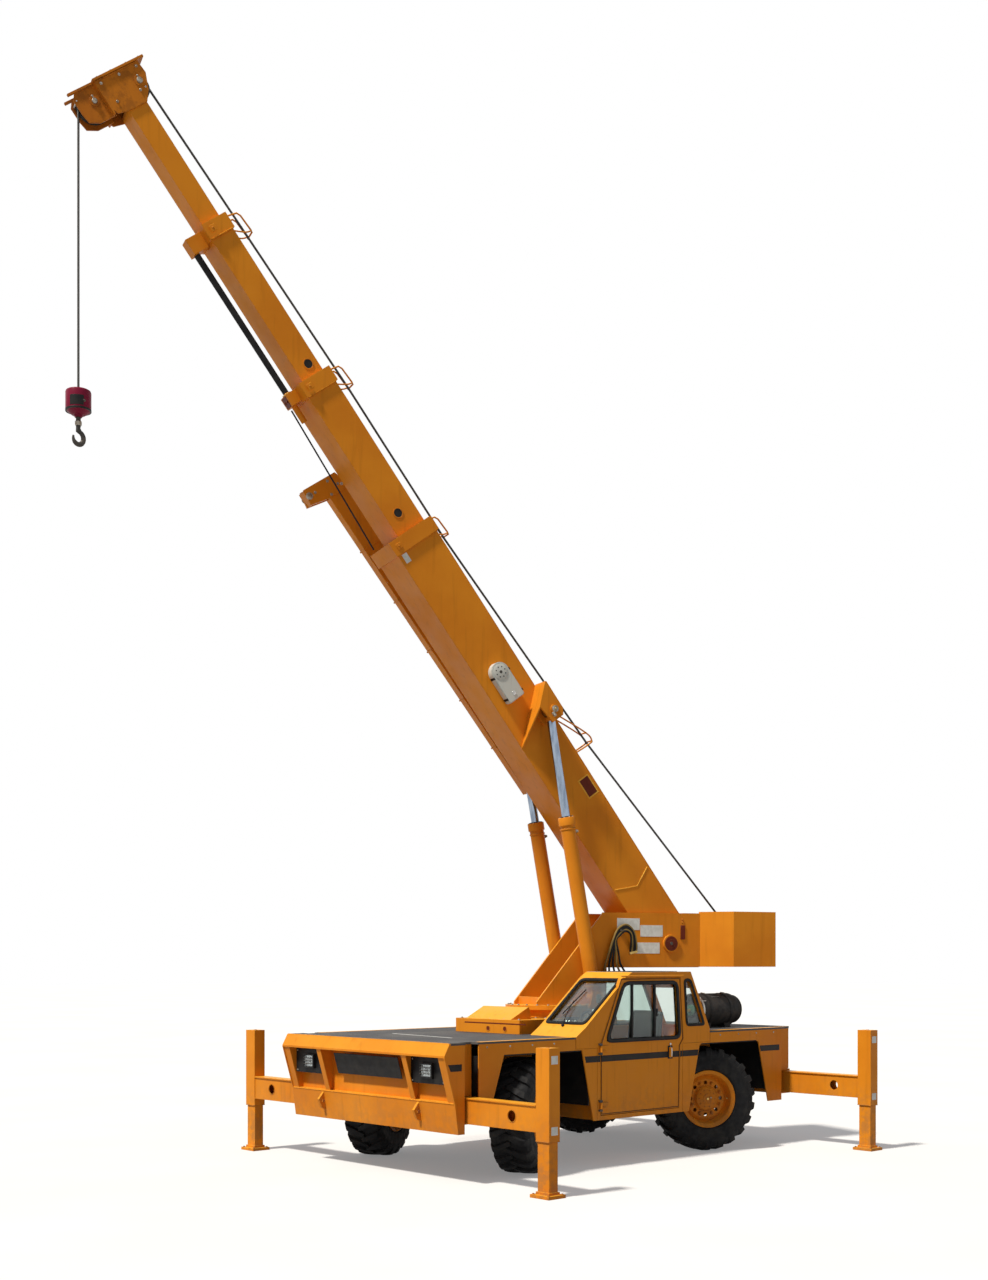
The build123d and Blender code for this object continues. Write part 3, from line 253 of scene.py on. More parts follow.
ORANGE, ORANGE_DEEP = (0.76, 0.262, 0.016), (0.66, 0.205, 0.012)
FINISHES = {
    painted: {  # base, deep, wear and painted highlight, dust, roughness, rust
        "orange_paint": (ORANGE, ORANGE_DEEP, (0.90, 0.46, 0.04)),
        "orange_head": ((0.60, 0.19, 0.014), (0.42, 0.115, 0.012), (0.80, 0.36, 0.06), 0.35, 0.5, 0.35),
        "orange_low": (ORANGE, ORANGE_DEEP, (0.20, 0.11, 0.06), 0.8, 0.45),
        "pale_roof": ((0.80, 0.74, 0.62), (0.72, 0.64, 0.50), (0.86, 0.82, 0.72), 0.0),
        "maroon": ((0.17, 0.030, 0.012), (0.11, 0.018, 0.010), (0.45, 0.14, 0.03), 0.0),
        "red_paint": ((0.24, 0.010, 0.040), (0.15, 0.007, 0.026), (0.42, 0.08, 0.10), 0.0),
        "grey_box": ((0.62, 0.62, 0.56), (0.50, 0.50, 0.45), (0.75, 0.74, 0.70), 0.0, 0.45)},
    plain: {  # two shades, roughness, metal, patches, grain, its size, coat
        "black_paint": ((0.009, 0.009, 0.010), (0.016, 0.015, 0.014)),
        "stripe_black": ((0.009, 0.008, 0.008), (0.016, 0.013, 0.011), 0.5, 0.0, 5.0),
        "dark_steel": ((0.055, 0.053, 0.050), (0.10, 0.085, 0.070), 0.55, 0.45, 9.0, 0.25),
        "cast_black": ((0.020, 0.020, 0.021), (0.045, 0.040, 0.036), 0.62, 0.1, 9.0, 0.4, 160.0),
        "bright_steel": ((0.52, 0.52, 0.50), (0.36, 0.35, 0.33), 0.34, 0.9, 14.0),
        "bolt_steel": ((0.33, 0.31, 0.27), (0.20, 0.15, 0.10), 0.45, 0.8, 30.0),
        "weld": ((0.88, 0.46, 0.06), (0.76, 0.34, 0.03)),
        "brass": ((0.55, 0.38, 0.12), (0.40, 0.27, 0.09), 0.32, 0.9, 20.0),
        "lamp_bowl": ((0.70, 0.70, 0.70), (0.50, 0.50, 0.52), 0.16, 1.0, 25.0, 0.02),
        "red_lens": ((0.45, 0.010, 0.008), (0.34, 0.008, 0.006), 0.12, 0.0, 9.0, 0.02, 90.0, 0.6),
        "amber_lens": ((0.75, 0.22, 0.01), (0.62, 0.17, 0.01), 0.12, 0.0, 9.0, 0.02, 90.0, 0.6),
        "plate": ((0.78, 0.78, 0.74), (0.66, 0.65, 0.60), 0.35, 0.0, 18.0, 0.03),
        "green_paint": ((0.05, 0.16, 0.09), (0.035, 0.11, 0.065), 0.4),
        "dial": ((0.02, 0.02, 0.022), (0.035, 0.035, 0.037), 0.25, 0.0, 40.0, 0.08, 90.0, 0.4)},
    rubber: {
        "tyre": ((0.010, 0.010, 0.011), (0.030, 0.028, 0.025)),
        "seal": ((0.010, 0.010, 0.010), (0.024, 0.023, 0.021)),
        "hose": ((0.014, 0.014, 0.015), (0.035, 0.033, 0.030)),
        "hose_tan": ((0.30, 0.20, 0.06), (0.20, 0.13, 0.05))},
    glazed: {"glass": ((0.80, 0.86, 0.84),), "lamp_glass": ((0.86, 0.88, 0.88), 0.12)},
    roped: {"wire": ((0.035, 0.035, 0.035), (0.10, 0.095, 0.085), 60.0),
        "rope": ((0.020, 0.020, 0.020), (0.075, 0.070, 0.062), 55.0)},
    leather: {"seat": ((0.022, 0.022, 0.024), (0.045, 0.043, 0.040))},
    deck_finish: {"dark_deck": ()},
    chromed: {"chrome": ()},
}
M = {name: maker(name, *spec) for maker, group in FINISHES.items() for name, spec in group.items()}


# ---------------- mesh kit
BIT = (4, 2, 1)  # a box corner's weights in its number


def axes_of(way):
    way = Vector(way).normalized()
    side = way.cross(Z if abs(way.z) < 0.9 else X).normalized()
    return side, way.cross(side).normalized(), way


def circle(centre, u, v, radius, count):
    """Points evenly round a centre, in the plane of u and v."""
    return [centre + (u * cos(a) + v * sin(a)) * radius for a in (tau * k / count for k in range(count))]


def curve_through(points, steps=6):
    """Smooth points through the given ones."""
    pts = [Vector(p) for p in points]
    out = []
    for k in range(len(pts) - 1):
        a, b, c, d = pts[max(k - 1, 0)], pts[k], pts[k + 1], pts[min(k + 2, len(pts) - 1)]
        out += [0.5 * (2 * b + (c - a) * u + (2 * a - 5 * b + 4 * c - d) * u * u + (3 * b - a - 3 * c + d) * u ** 3)
            for u in (i / steps for i in range(steps))]
    return out + pts[-1:]


class Piece:
    """One named mesh, gathered from shapes in the frame `place`, that rides on a body."""

    def __init__(self, name, body, place=Matrix()):
        self.name, self.body, self.place = name, body, place
        self.points, self.faces, self.face_mats, self.mats = [], [], [], []

    def put(self, points, faces, mat):
        start = len(self.points)
        self.points += [self.place @ Vector(p) for p in points]
        if mat not in self.mats:
            self.mats.append(mat)
        self.faces += [[i + start for i in face] for face in faces]
        self.face_mats += [self.mats.index(mat)] * len(faces)

    def skin(self, rings, mat, loop=False):
        """Rings of as many points each, joined in turn; the ends are capped, or meet in a loop."""
        n, count = len(rings[0]), len(rings)
        faces = [[i * n + k, i * n + (k + 1) % n, (i + 1) % count * n + (k + 1) % n, (i + 1) % count * n + k]
            for i in range(count if loop else count - 1) for k in range(n)]
        if not loop:
            faces += [list(range(n))[::-1], [(count - 1) * n + k for k in range(n)]]
        self.put([p for ring in rings for p in ring], faces, mat)

    def box(self, lo, hi, mat=PAINT, bevel=0.003):
        """Box with chamfered edges."""
        lo, hi = Vector(map(min, lo, hi)), Vector(map(max, lo, hi))
        b = min(bevel, *((hi - lo) * 0.49))
        points = [[hi[n] - b * (n != a) if c & BIT[n] else lo[n] + b * (n != a) for n in range(3)]
            for c in range(8) for a in range(3)]

        def spot(a, along, u, v, way):
            """Number of the point on axis a+way of the corner at (along, u, v) from axis a on."""
            return 3 * (along * BIT[a] + u * BIT[(a + 1) % 3] + v * BIT[(a + 2) % 3]) + (a + way) % 3

        faces = [[3 * c, 3 * c + 1, 3 * c + 2] for c in range(8)]
        for a in range(3):
            faces += [[spot(a, s, u, v, 0) for u, v in ((0, 0), (1, 0), (1, 1), (0, 1))] for s in (0, 1)]
            faces += [[spot(a, s, u, v, way) for s, way in ((0, 1), (1, 1), (1, 2), (0, 2))]
                for u in (0, 1) for v in (0, 1)]
        self.put(points, faces, mat)

    def prism(self, outline, normal, depth, mat):
        """3-D outline pushed along normal by depth."""
        push = Vector(normal).normalized() * depth
        self.skin([outline, [Vector(p) + push for p in outline]], mat)

    def lathe(self, profile, origin, way, mat, steps=24, loop=False):
        """Profile of (along, radius) turned round the axis, capped or closed in a loop."""
        u, v, w = axes_of(way)
        self.skin([circle(Vector(origin) + w * along, u, v, r, steps) for along, r in profile], mat, loop)

    def stack(self, at, way, *layers):
        """Turned shapes on one axis, each of (material, steps, (along, radius), ...)."""
        for mat, steps, *profile in layers:
            self.lathe(profile, at, way, mat, steps)

    def ring(self, origin, way, inner, outer, depth, mat=LOW, steps=24):
        """Closed ring with a square section."""
        self.lathe([(0, inner), (0, outer), (depth, outer), (depth, inner)], origin, way, mat, steps, True)

    def rod(self, a, b, r, mat, steps=16, lip=0.0):
        length = (Vector(b) - Vector(a)).length
        lip = min(lip, r * 0.5, length * 0.4)
        profile = [(0, r - lip), (lip, r), (length - lip, r), (length, r - lip)] if lip else [(0, r), (length, r)]
        self.lathe(profile, a, Vector(b) - Vector(a), mat, steps)

    def sweep(self, points, r, mat=PAINT, sides=8, loop=False):
        """Round bar along the points."""
        pts = [Vector(p) for p in points]
        side, rings = None, []
        for i, p in enumerate(pts):
            before = pts[i - 1] if i or loop else p
            after = pts[(i + 1) % len(pts)] if i < len(pts) - 1 or loop else p
            way = (after - before).normalized()
            side = side or axes_of(way)[0]
            side = (side - way * side.dot(way)).normalized()
            rings.append(circle(p, side, way.cross(side), r, sides))
        self.skin(rings, mat, loop)

    def bolt(self, at, way, r=0.012, mat=BOLT):
        """Hex head on a washer."""
        self.stack(at, way, (mat, 12, (0, r * 1.35), (r * 0.25, r * 1.35)),
            (mat, 6, (r * 0.25, r), (r * 0.9, r), (r * 1.05, r * 0.8)))

    def bolt_ring(self, centre, way, radius, count, r, mat=BOLT):
        u, v, _ = axes_of(way)
        for at in circle(Vector(centre), u, v, radius, count):
            self.bolt(at, way, r, mat)

    def mesh(self, sharp=38.0):
        mesh = bpy.data.meshes.new(self.name)
        mesh.from_pydata(self.points, [], self.faces)
        for mat in self.mats:
            mesh.materials.append(M[mat])
        mesh.polygons.foreach_set("material_index", self.face_mats)
        bm = bmesh.new()
        bm.from_mesh(mesh)
        bmesh.ops.recalc_face_normals(bm, faces=bm.faces)
        for face in bm.faces:
            face.smooth = True
        for edge in bm.edges:
            edge.smooth = len(edge.link_faces) == 2 and edge.calc_face_angle(0.0) < radians(sharp)
        bm.to_mesh(mesh)
        bm.free()
        obj = bpy.data.objects.new(self.name, mesh)
        SCENE.collection.objects.link(obj)
        return obj

    def done(self, replaces=None, sharp=38.0):
        obj = self.mesh(sharp)
        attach(obj, self.body)
        if replaces:
            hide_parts(replaces)
        return obj


# ---------------- frames from the record
def frame_of(origin, x, y, z):
    m = Matrix((x, y, z)).transposed().to_4x4()
    m.translation = origin
    return m


def axis(joint):
    return Vector(JOINTS[joint]["axis"]).normalized()


def place(joint):
    return Vector(JOINTS[joint]["pos_m"])


SLEW_Y = 2.345  # slew axis behind the nose
SIDE = -axis("luff")  # turret's left
ALONG = axis("telescope")  # out along the boom
CHASSIS = Matrix.Translation((place("slew").x, place("slew").y - SLEW_Y, 0.0))
TURRET = frame_of((*place("slew")[:2], 0.0), SIDE, Z.cross(SIDE), Z)
BOOM = frame_of(place("luff"), SIDE, -ALONG, SIDE.cross(-ALONG))


def wheel_frame(spot):
    joint = "spin_" + spot
    out = axis(joint) * (1.0 if spot.endswith("left") else -1.0)
    return frame_of(place(joint), out, Z.cross(out), Z)


def on(x, along, above):
    """Point in the boom's own frame: left, out along it, above its foot pin."""
    return Vector((x, -along, above))


def row(x, *spots):
    return [on(x, along, above) for along, above in spots]


def local(node, frame_matrix):
    """Lowest and highest corner of a CAD node in another frame."""
    inverse = frame_matrix.inverted()
    pts = [inverse @ v.co for v in frame["nodes"][node].data.vertices]
    return [Vector(end(p[i] for p in pts) for i in range(3)) for end in (min, max)]


def boom_span(node):
    """(half width, outer end, top) of a node along the boom."""
    lo, hi = local(node, BOOM)
    return max(-lo.x, hi.x), -lo.y, hi.z


# ---------------- finish of the carried-over nodes
SPECIAL = {"boom_head": "orange_head", "knuckle_front_left": DARK, "hook": DARK,
    "winch": "cast_black", "engine_block": "cast_black", "air_cleaner": "cast_black"}
for node_name, obj in frame["nodes"].items():
    wanted = SPECIAL.get(node_name, SLOT_OF[node_name])
    if node_name.startswith(("outrigger_leg", "lift_barrel")):
        wanted = PAINT
    for material_slot in obj.material_slots:
        material_slot.material = M[wanted]


# ---------------- tyres, hubs
# outer half of the carcass section: (across, radius)
WALL = [(.186, .312), (.190, .318), (.188, .330), (.1925, .348), (.1925, .398), (.1905, .432), (.1925, .438),
    (.1895, .446), (.181, .470), (.165, .496), (.135, .509), (.06, .513)]
CARCASS = [(-.1674, .2684), (-.1792, .298), *((-a, r) for a, r in WALL), (0, .514), *WALL[::-1],
    (.1642, .298), (.1494, .2684), (.06, .2464), (-.06, .2464)]
# stations of a lug: across, top radius, foot radius, lead angle, half width at the top
LUG = [(-.022, .5365, .505, -.020, .022), (.022, .5390, .507, .018, .026), (.070, .5390, .507, .068, .028),
    (.118, .5375, .503, .108, .030), (.157, .5285, .490, .130, .031), (.179, .495, .466, .140, .030),
    (.1905, .456, .446, .146, .026)]
LUGS, LUG_SPREAD = 22, 1.28  # lugs a side, foot's width against the top's
LAST = 4 * len(LUG) - 4
LUG_FACES = [[a, a + 1, a + 5, a + 4] for i in range(0, LAST, 4) for a in (i, i + 1, i + 2)]
LUG_FACES += [[0, 1, 2, 3], [LAST + 3, LAST + 2, LAST + 1, LAST]]


def tyre_piece(spot):
    p = Piece("tyre_tread_" + spot, "wheel_" + spot, wheel_frame(spot))
    p.lathe(CARCASS, (0, 0, 0), X, "tyre", 88, True)
    for side in BOTH:
        for k in range(LUGS):
            base = tau / LUGS * (k + (0.5 if side < 0 else 0.0))
            points = []
            for across, top, foot, lead, half in LUG:
                for r, h in ((foot, half * LUG_SPREAD), (top, half), (top, -half), (foot, -half * LUG_SPREAD)):
                    a = base + lead + h / r
                    points.append((side * across, cos(a) * r, sin(a) * r))
            p.put(points, LUG_FACES, "tyre")
    p.done("tyre_" + spot, sharp=30.0)


def hub_piece(spot):
    p = Piece("hub_gear_" + spot, "wheel_" + spot, wheel_frame(spot))
    for k in range(8):
        a = tau * (k + 0.5) / 8
        p.stack((.094, cos(a) * .165, sin(a) * .165), X, (LOW, 12, (0, .024), (.004, .024)),
            (LOW, 6, (.004, .017), (.022, .017), (.025, .014)), (LOW, 8, (.025, .009), (.034, .009)))
    p.ring((.094, 0, 0), X, .128, .136, .007, LOW, 36)
    p.bolt_ring((.1365, 0, 0), X, .086, 10, .0065, LOW)
    p.stack((.150, 0, 0), X, (LOW, 24, (0, .052), (.003, .050)), (BRASS, 6, (.003, .014), (.012, .012)))
    p.stack((.150, .034, .012), X, (BOLT, 6, (0, .008), (.012, .008)))
    p.sweep([(.110, .232, 0), (.135, .228, 0), (.152, .214, 0)], .005, BRASS)  # valve
    p.done()


for end in ENDS:
    for word, _ in SIDES:
        tyre_piece(f"{end}_{word}")
        hub_piece(f"{end}_{word}")


# ---------------- boom: collars, guards, side holes in painted shade
# the rope's way over the boom: distance out, height above the foot pin's axis
ROPE_PATH = ((-.08, .690), (2.20, .565), (4.72, .437), (6.40, .430), (8.05, .385), (9.47, .344))
OVER_ROPE = .021  # guard bars above the rope's middle
GUARD_X = .070  # guard bars beside it


def rope_above(out):
    """Height of the rope at a distance out along the boom."""
    for (a, low), (b, high) in zip(ROPE_PATH, ROPE_PATH[1:]):
        if a <= out <= b:
            return low + (high - low) * (out - a) / (b - a)


def stage_dress(node, body, thick, side_low):
    """Collar's fittings; side_low is the lower edge of the collar's cheek."""
    half, end, top = boom_span(node)
    p = Piece(node + "_fittings", body, BOOM)
    side_high, back, bolt_x = top - thick, end - .152, (half - thick) * .55
    pad = side_low + .06
    for s in BOTH:
        x = s * half
        # cover of the wear pad's adjuster with its bolt, weld bead along the band's back edge
        p.box(on(x, end - .045, pad - .030), on(x + s * .006, end - .105, pad + .030), PAINT, .002)
        p.bolt(on(x + s * .006, end - .075, pad), X * s, .009, LOW)
        p.sweep(row(x - s * thick * .9, (back, side_low), (back, side_high)), .005, PAINT, 6)
        p.bolt(on(s * bolt_x, end - .075, top), Z, .010, LOW)
    for x in (-bolt_x, 0.0, bolt_x):
        for above in (side_low + .035, side_high - .018):
            p.bolt(on(x, end, above), -Y, .007, LOW)
    # rope guard: a bent bar from the band's top, back along the boom, over the rope
    level = rope_above(end - .20) + OVER_ROPE
    bar = [(end - .014, top), (end - .020, top + .05), (end - .035, level - .02), (end - .07, level),
        (end - .22, level + .012), (end - .245, level + .008)]
    p.sweep(row(-GUARD_X, *bar) + row(GUARD_X, *bar[::-1]), .0085, PAINT, 10)
    for x in (-GUARD_X, GUARD_X):
        p.sweep(curve_through(row(x, (end - .23, level + .011), (end - .215, level - .05), (end - .145, top)), 5),
            .0075)
        p.box(on(x - .018, end - .003, top), on(x + .018, end - .030, top + .006), PAINT, .002)
    p.done()


for stage in (("boom_base", "boom", .020, -.212), ("boom_stage_two", "boom_two", .018, -.079),
        ("boom_stage_three", "boom_three", .016, -.020)):
    stage_dress(*stage)

# round inspection holes in the tube's left and right sides, their insides as black discs of painted shade
for name, along, above, half in (("two", 5.18, .06, .195), ("three", 6.78, .13, .150)):
    p = Piece("stage_port_" + name, "boom_" + name, BOOM)
    for s in BOTH:
        # painted shade: a black disc stands for the hole's shaded inside
        p.stack(on(s * half, along, above), X * s, (BLACK, 32, (0, .044), (.0012, .044)))
        p.ring(on(s * half, along, above), X * s, .043, .053, .005, LOW, 32)
    p.done()


# ---------------- hoist rope, taut all the way
ROPE = 0.011


def around(centre, radius, first, last, steps=14):
    """Points on a circle in the boom's plane, angles in degrees from `along` towards `above`."""
    angles = [radians(first + (last - first) * k / steps) for k in range(steps + 1)]
    return [on(0, centre[0] + radius * cos(a), centre[1] + radius * sin(a)) for a in angles]


def rope_piece(name, points, body, other=None, r=ROPE, mat="rope"):
    """Rope along the points; between two bodies it is cut finely and baked into world space, on no body."""
    if other:
        points = [a.lerp(b, k / 24) for a, b in zip(points, points[1:]) for k in range(24)] + points[-1:]
    piece = Piece(name, body, BOOM)
    piece.sweep(points, r, mat, 10)
    obj = piece.mesh()
    if other:
        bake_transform(obj)
    else:
        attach(obj, body)


WINCH_LO, WINCH_HI = local("winch", TURRET)
WINCH = (WINCH_LO + WINCH_HI) * 0.5
DRUM_R = 0.105
GUIDE, GUIDE_PITCH = (9.600, 0.240), 0.100
HOIST, HOIST_PITCH = (9.632, -0.226), 0.130

loop_at, *path = row(0, *ROPE_PATH[1:])
drum = BOOM.inverted() @ (TURRET @ WINCH)
run = (loop_at - drum).normalized()
over = Vector((0, -run.z, run.y))
lift_off = drum + over * copysign(DRUM_R + ROPE, over.z)
lift_off.x = 0.0
mid_end = lift_off.lerp(loop_at, 0.26)
rope_piece("hoist_rope_winch", [lift_off, mid_end], "turret", "boom")
rope_piece("hoist_rope_foot", [mid_end, loop_at, path[0]], "boom")
for k, (one, other) in enumerate((("boom", "boom_two"), ("boom_two", "boom_three"), ("boom_three", "boom_four"))):
    rope_piece("hoist_rope_" + other, path[k:k + 2], one, other)
down = BOOM.inverted().to_3x3() @ -Z
rope_piece("hoist_rope_head", [path[-1], *around(GUIDE, GUIDE_PITCH, 89, 7.6),
        *around(HOIST, HOIST_PITCH, 7.6, degrees(atan2(down.z, -down.y)) + 90.0)], "boom_four")

# windings on the winch drum
p = Piece("winch_rope", "turret", TURRET)
TURNS, PER_TURN = 13, 20
wound = DRUM_R + ROPE * .8
p.sweep([(-.148 + .296 * k / (TURNS * PER_TURN), WINCH.y + cos(tau * k / PER_TURN) * wound,
        WINCH.z + sin(tau * k / PER_TURN) * wound) for k in range(TURNS * PER_TURN + 1)], ROPE, "rope", 7)
p.done()

# bent loop ahead of the foot that holds the rope down
p = Piece("rope_loop", "boom", BOOM)
BASE_TOP = .294
level = ROPE_PATH[1][1] + OVER_ROPE
for x in (-GUARD_X, GUARD_X):
    p.sweep(curve_through(row(x, (2.76, BASE_TOP), (2.72, .350), (2.62, .420), (2.30, level), (2.20, level + .010),
            (2.185, level - .03), (2.20, .36), (2.23, BASE_TOP)), 4), .0085)
    for a in (2.23, 2.76):
        p.box(on(x - .018, a - .022, BASE_TOP), on(x + .018, a + .022, BASE_TOP + .007), PAINT, .002)
for a, n in ((2.30, level), (2.195, level + .008)):
    p.sweep([on(-GUARD_X, a, n), on(GUARD_X, a, n)], .0085)
p.done()

# ---------------- boom: cable reel, tube, cable
p = Piece("cable_reel_case", "boom", BOOM)
(x0, y0, z0), (x1, y1, z1) = local("cable_reel", BOOM)
rim, mid = (z1 - z0) / 2, (z0 + z1) / 2
# rounded upper end, square lower end
outline = [(x0, y0 + rim + cos(a) * rim, mid + sin(a) * rim) for a in (pi * (0.5 + k / 12) for k in range(13))]
outline += [(x0, y1 - .012, z0), (x0, y1, z0 + .012), (x0, y1, z1 - .012), (x0, y1 - .012, z1)]
p.prism(outline, X, x1 - x0 - .012, "grey_box")
p.prism([(x1 - .012, y + ((y0 + y1) / 2 - y) * .03, z + (mid - z) * .05) for _, y, z in outline], X, .006, "grey_box")
disc = Vector((x1 - .006, y0 + rim, mid))
p.stack(disc, X, ("grey_box", 40, (0, .078), (.003, .078), (.0055, .072)), (DARK, 20, (.002, .018), (.006, .016)))
for k in range(8):
    a = tau * k / 8
    p.stack(disc + Vector((.0045, cos(a) * .052, sin(a) * .052)), X, (BLACK, 10, (0, .007), (.0012, .007)))
p.box((disc.x, y1 - .085, mid - .018), (disc.x + .005, y1 - .045, mid + .018), BRIGHT, .0015)
for y in (y0 + .12, y1 - .05):
    for z in (z0, z1):
        p.box((x0, y - .012, z - .004), (x1 - .001, y + .012, z + .004), BLACK, .001)
p.done("cable_reel")

TUBE_Z = -.164
two_end, three_end = boom_span("boom_stage_two")[1], boom_span("boom_stage_three")[1]
p = Piece("cable_tube_sleeve", "boom_three", BOOM)
p.rod(on(0, two_end + .012, TUBE_Z), on(0, three_end - .172, TUBE_Z), .0302, "hose", 48)
p.done()
p = Piece("cable_guide_bush", "boom_two", BOOM)
p.ring(on(0, two_end + .004, TUBE_Z), Y, .0315, .046, .014, BRASS)
p.box(on(-.052, two_end - .012, -.2165), on(.052, two_end - .120, -.2095), "maroon", .002)
for x in (-.03, .03):
    p.bolt(on(x, two_end - .065, -.2165), -Z, .010, "maroon")
p.done()
rope_piece("trip_cable", [on(-.10, 5.02, -.236), on(-.02, 6.52, -.205)], "boom", "boom_two", .008, "hose")

# ---------------- boom head, stowed jib
p = Piece("boom_head_fittings", "boom_four", BOOM)
HEAD_END = boom_span("boom_head")[1]
for s in BOTH:
    x = s * .130
    for (along, above), r, at in ((GUIDE, .034, x), (HOIST, .030, s * .075)):
        p.stack(on(at, along, above), X * s, ("orange_head", 24, (0, r + .016), (.006, r + .016)),
            (BOLT, 18, (.006, r * .8), (.018, r * .8), (.021, r * .66)))
        p.box(on(at + s * .018, along - .006, above + .006), on(at + s * .023, along + .050, above - .006), BOLT, .001)
        p.bolt(on(at + s * .023, along + .040, above), X * s, .007)
    for spot in row(x, (9.53, .20), (9.53, -.06), (9.72, .29), (9.72, -.10), (9.72, .10)):
        p.bolt(spot, X * s, .010)
    p.sweep(row(x + s * .002, (9.752, -.14), (9.752, .32)), .006, "orange_head", 6)
    for above in (-.10, .05, .22, .36):
        p.bolt(on(s * .12, HEAD_END, above), -Y, .010)
p.rod(on(-.130, 9.535, .262), on(.130, 9.535, .262), .011, BRIGHT, 12, .002)
p.rod(on(-.075, 9.70, -.372), on(.075, 9.70, -.372), .009, BRIGHT, 12, .002)
p.done()

p = Piece("jib_fittings", "boom", BOOM)
for s, x in ((-1, -.614), (1, -.476)):
    for spot in row(x, (5.755, .00), (5.83, -.08), (5.80, -.26), (5.70, -.12)):
        p.bolt(spot, X * s, .011)
    p.stack(on(x, 5.80, -.335), X * s, (BOLT, 20, (0, .036), (.010, .036), (.013, .030)))
p.rod(on(-.625, 5.735, .035), on(-.465, 5.735, .035), .015, BRIGHT, 14, .003)
p.sweep(curve_through(row(-.545, (5.70, .092), (5.73, .135), (5.79, .135), (5.82, .060)), 5), .008, BOLT)
for along, above in ((3.38, .077), (4.73, .083)):
    for x in (-.56, -.52):
        p.bolt(on(x, along, above), Z, .009)
p.done()


# ---------------- cab
(IN_X, _, _), (OUT_X, _, _) = local("cab_body", CHASSIS)
DOOR_WINDOW = [(1.886, 1.200), (2.962, 1.200), (2.918, 1.758), (2.130, 1.758)]
QUARTER_WINDOW = [(3.032, 1.778), (3.122, 1.778), (3.338, 1.322), (3.066, 1.322)]
INNER_WINDOW = [(1.760, 1.390), (2.240, 1.775), (3.080, 1.775), (3.320, 1.310), (1.700, 1.310)]


def offset_outline(points, by):
    """Convex outline moved outwards by a distance, with straight sides."""
    pts = [Vector(p) for p in points]
    sign = copysign(1.0, sum(a.x * b.y - b.x * a.y for a, b in zip(pts, pts[1:] + pts[:1])))
    out = []
    for k, p in enumerate(pts):
        a, b = (p - pts[k - 1]).normalized(), (pts[(k + 1) % len(pts)] - p).normalized()
        na, nb = Vector((a.y, -a.x)) * sign, Vector((b.y, -b.x)) * sign
        out.append(p + (na + nb) * (by / max(0.35, 1.0 + na.dot(nb))))
    return out


def rounded(points, radius, steps=5):
    """Outline with its corners rounded."""
    pts = [Vector(p) for p in points]
    out = []
    for k, p in enumerate(pts):
        a, b = pts[k - 1] - p, pts[(k + 1) % len(pts)] - p
        cut = min(radius, a.length * .45, b.length * .45)
        u, v = p + a.normalized() * cut, p + b.normalized() * cut
        out += [(1 - t) ** 2 * u + 2 * (1 - t) * t * p + t * t * v for t in (i / steps for i in range(steps + 1))]
    return out


def frame_band(piece, outline, x, way, inner, outer, depth, mat, radius=.05):
    """Flat band round an outline in a plane of constant x."""
    a, b = (rounded(offset_outline(outline, by), radius + by - inner) for by in (inner, outer))
    piece.skin([[(x + way * d, q.x, q.y) for q in line] for line, d in ((a, 0), (b, 0), (b, depth), (a, depth))],
        mat, True)


def border(piece, inner, outer, spot, mat, bevel):
    """Four boxes between two rectangles (u0, v0, u1, v1); spot places (u, v) at the near or far level."""
    u0, v0, u1, v1 = inner
    low_u, low_v, high_u, high_v = outer
    for a, b, c, d in ((low_u, low_v, high_u, v0), (low_u, v1, high_u, high_v), (low_u, v0, u0, v1),
            (u1, v0, high_u, v1)):
        piece.box(spot(a, b, 0), spot(c, d, 1), mat, bevel)


p = Piece("door_window_frame", "cab_door", CHASSIS)
frame_band(p, DOOR_WINDOW, OUT_X - .001, 1, -.022, .016, .009, SEAL, .06)
frame_band(p, DOOR_WINDOW, OUT_X + .007, 1, -.014, .006, .004, BLACK)
frame_band(p, DOOR_WINDOW, OUT_X - .041, -1, -.012, .016, .005, SEAL)
for y in (2.255, 2.585):  # dividers of the sliding panes
    p.box((OUT_X - .022, y - .011, 1.192), (OUT_X + .004, y + .011, 1.750), BLACK, .002)
p.box((OUT_X - .018, 2.60, 1.42), (OUT_X + .006, 2.625, 1.50), BLACK)
p.done()

p = Piece("door_hardware", "cab_door", CHASSIS)
for z in (.590, 1.130):  # hinge straps and their bolts
    for y in (1.836, 1.858):
        p.bolt((OUT_X + .013, y, z - .012), X, .0065, LOW)
    p.box((OUT_X, 1.820, z - .030), (OUT_X + .013, 1.905, z + .030), LOW)
p.box((OUT_X, 2.775, .995), (OUT_X + .006, 2.845, 1.125), BLACK)
p.sweep(curve_through([(OUT_X + out, 2.810, z) for out, z in ((.004, 1.010), (.0215, 1.025), (.0215, 1.095),
        (.004, 1.110))], 5), .0065, BRIGHT)
p.stack((OUT_X + .005, 2.810, 1.140), X, (BRIGHT, 16, (0, .012), (.004, .012), (.006, .009)))
p.sweep([(OUT_X + .001, y, z) for y, z in ((1.815, .510), (2.935, .510), (2.949, 1.12), (3.002, 1.188),
        (2.957, 1.792), (2.096, 1.792), (1.815, 1.178))], .004, SEAL, 6, True)
p.done()

p = Piece("cab_window_seals", "chassis", CHASSIS)
frame_band(p, QUARTER_WINDOW, OUT_X - .001, 1, -.014, .014, .007, SEAL, .03)
frame_band(p, INNER_WINDOW, IN_X + .001, -1, -.014, .016, .007, SEAL)
FOOT, HEAD = Vector((1.600, 1.340)), Vector((2.170, 1.815))  # the windscreen's slope in (y, z)
RISE = (HEAD - FOOT).normalized()


def slope_point(along, over, x):
    return Vector((x, FOOT.x + RISE.x * along - RISE.y * over, FOOT.y + RISE.y * along + RISE.x * over))


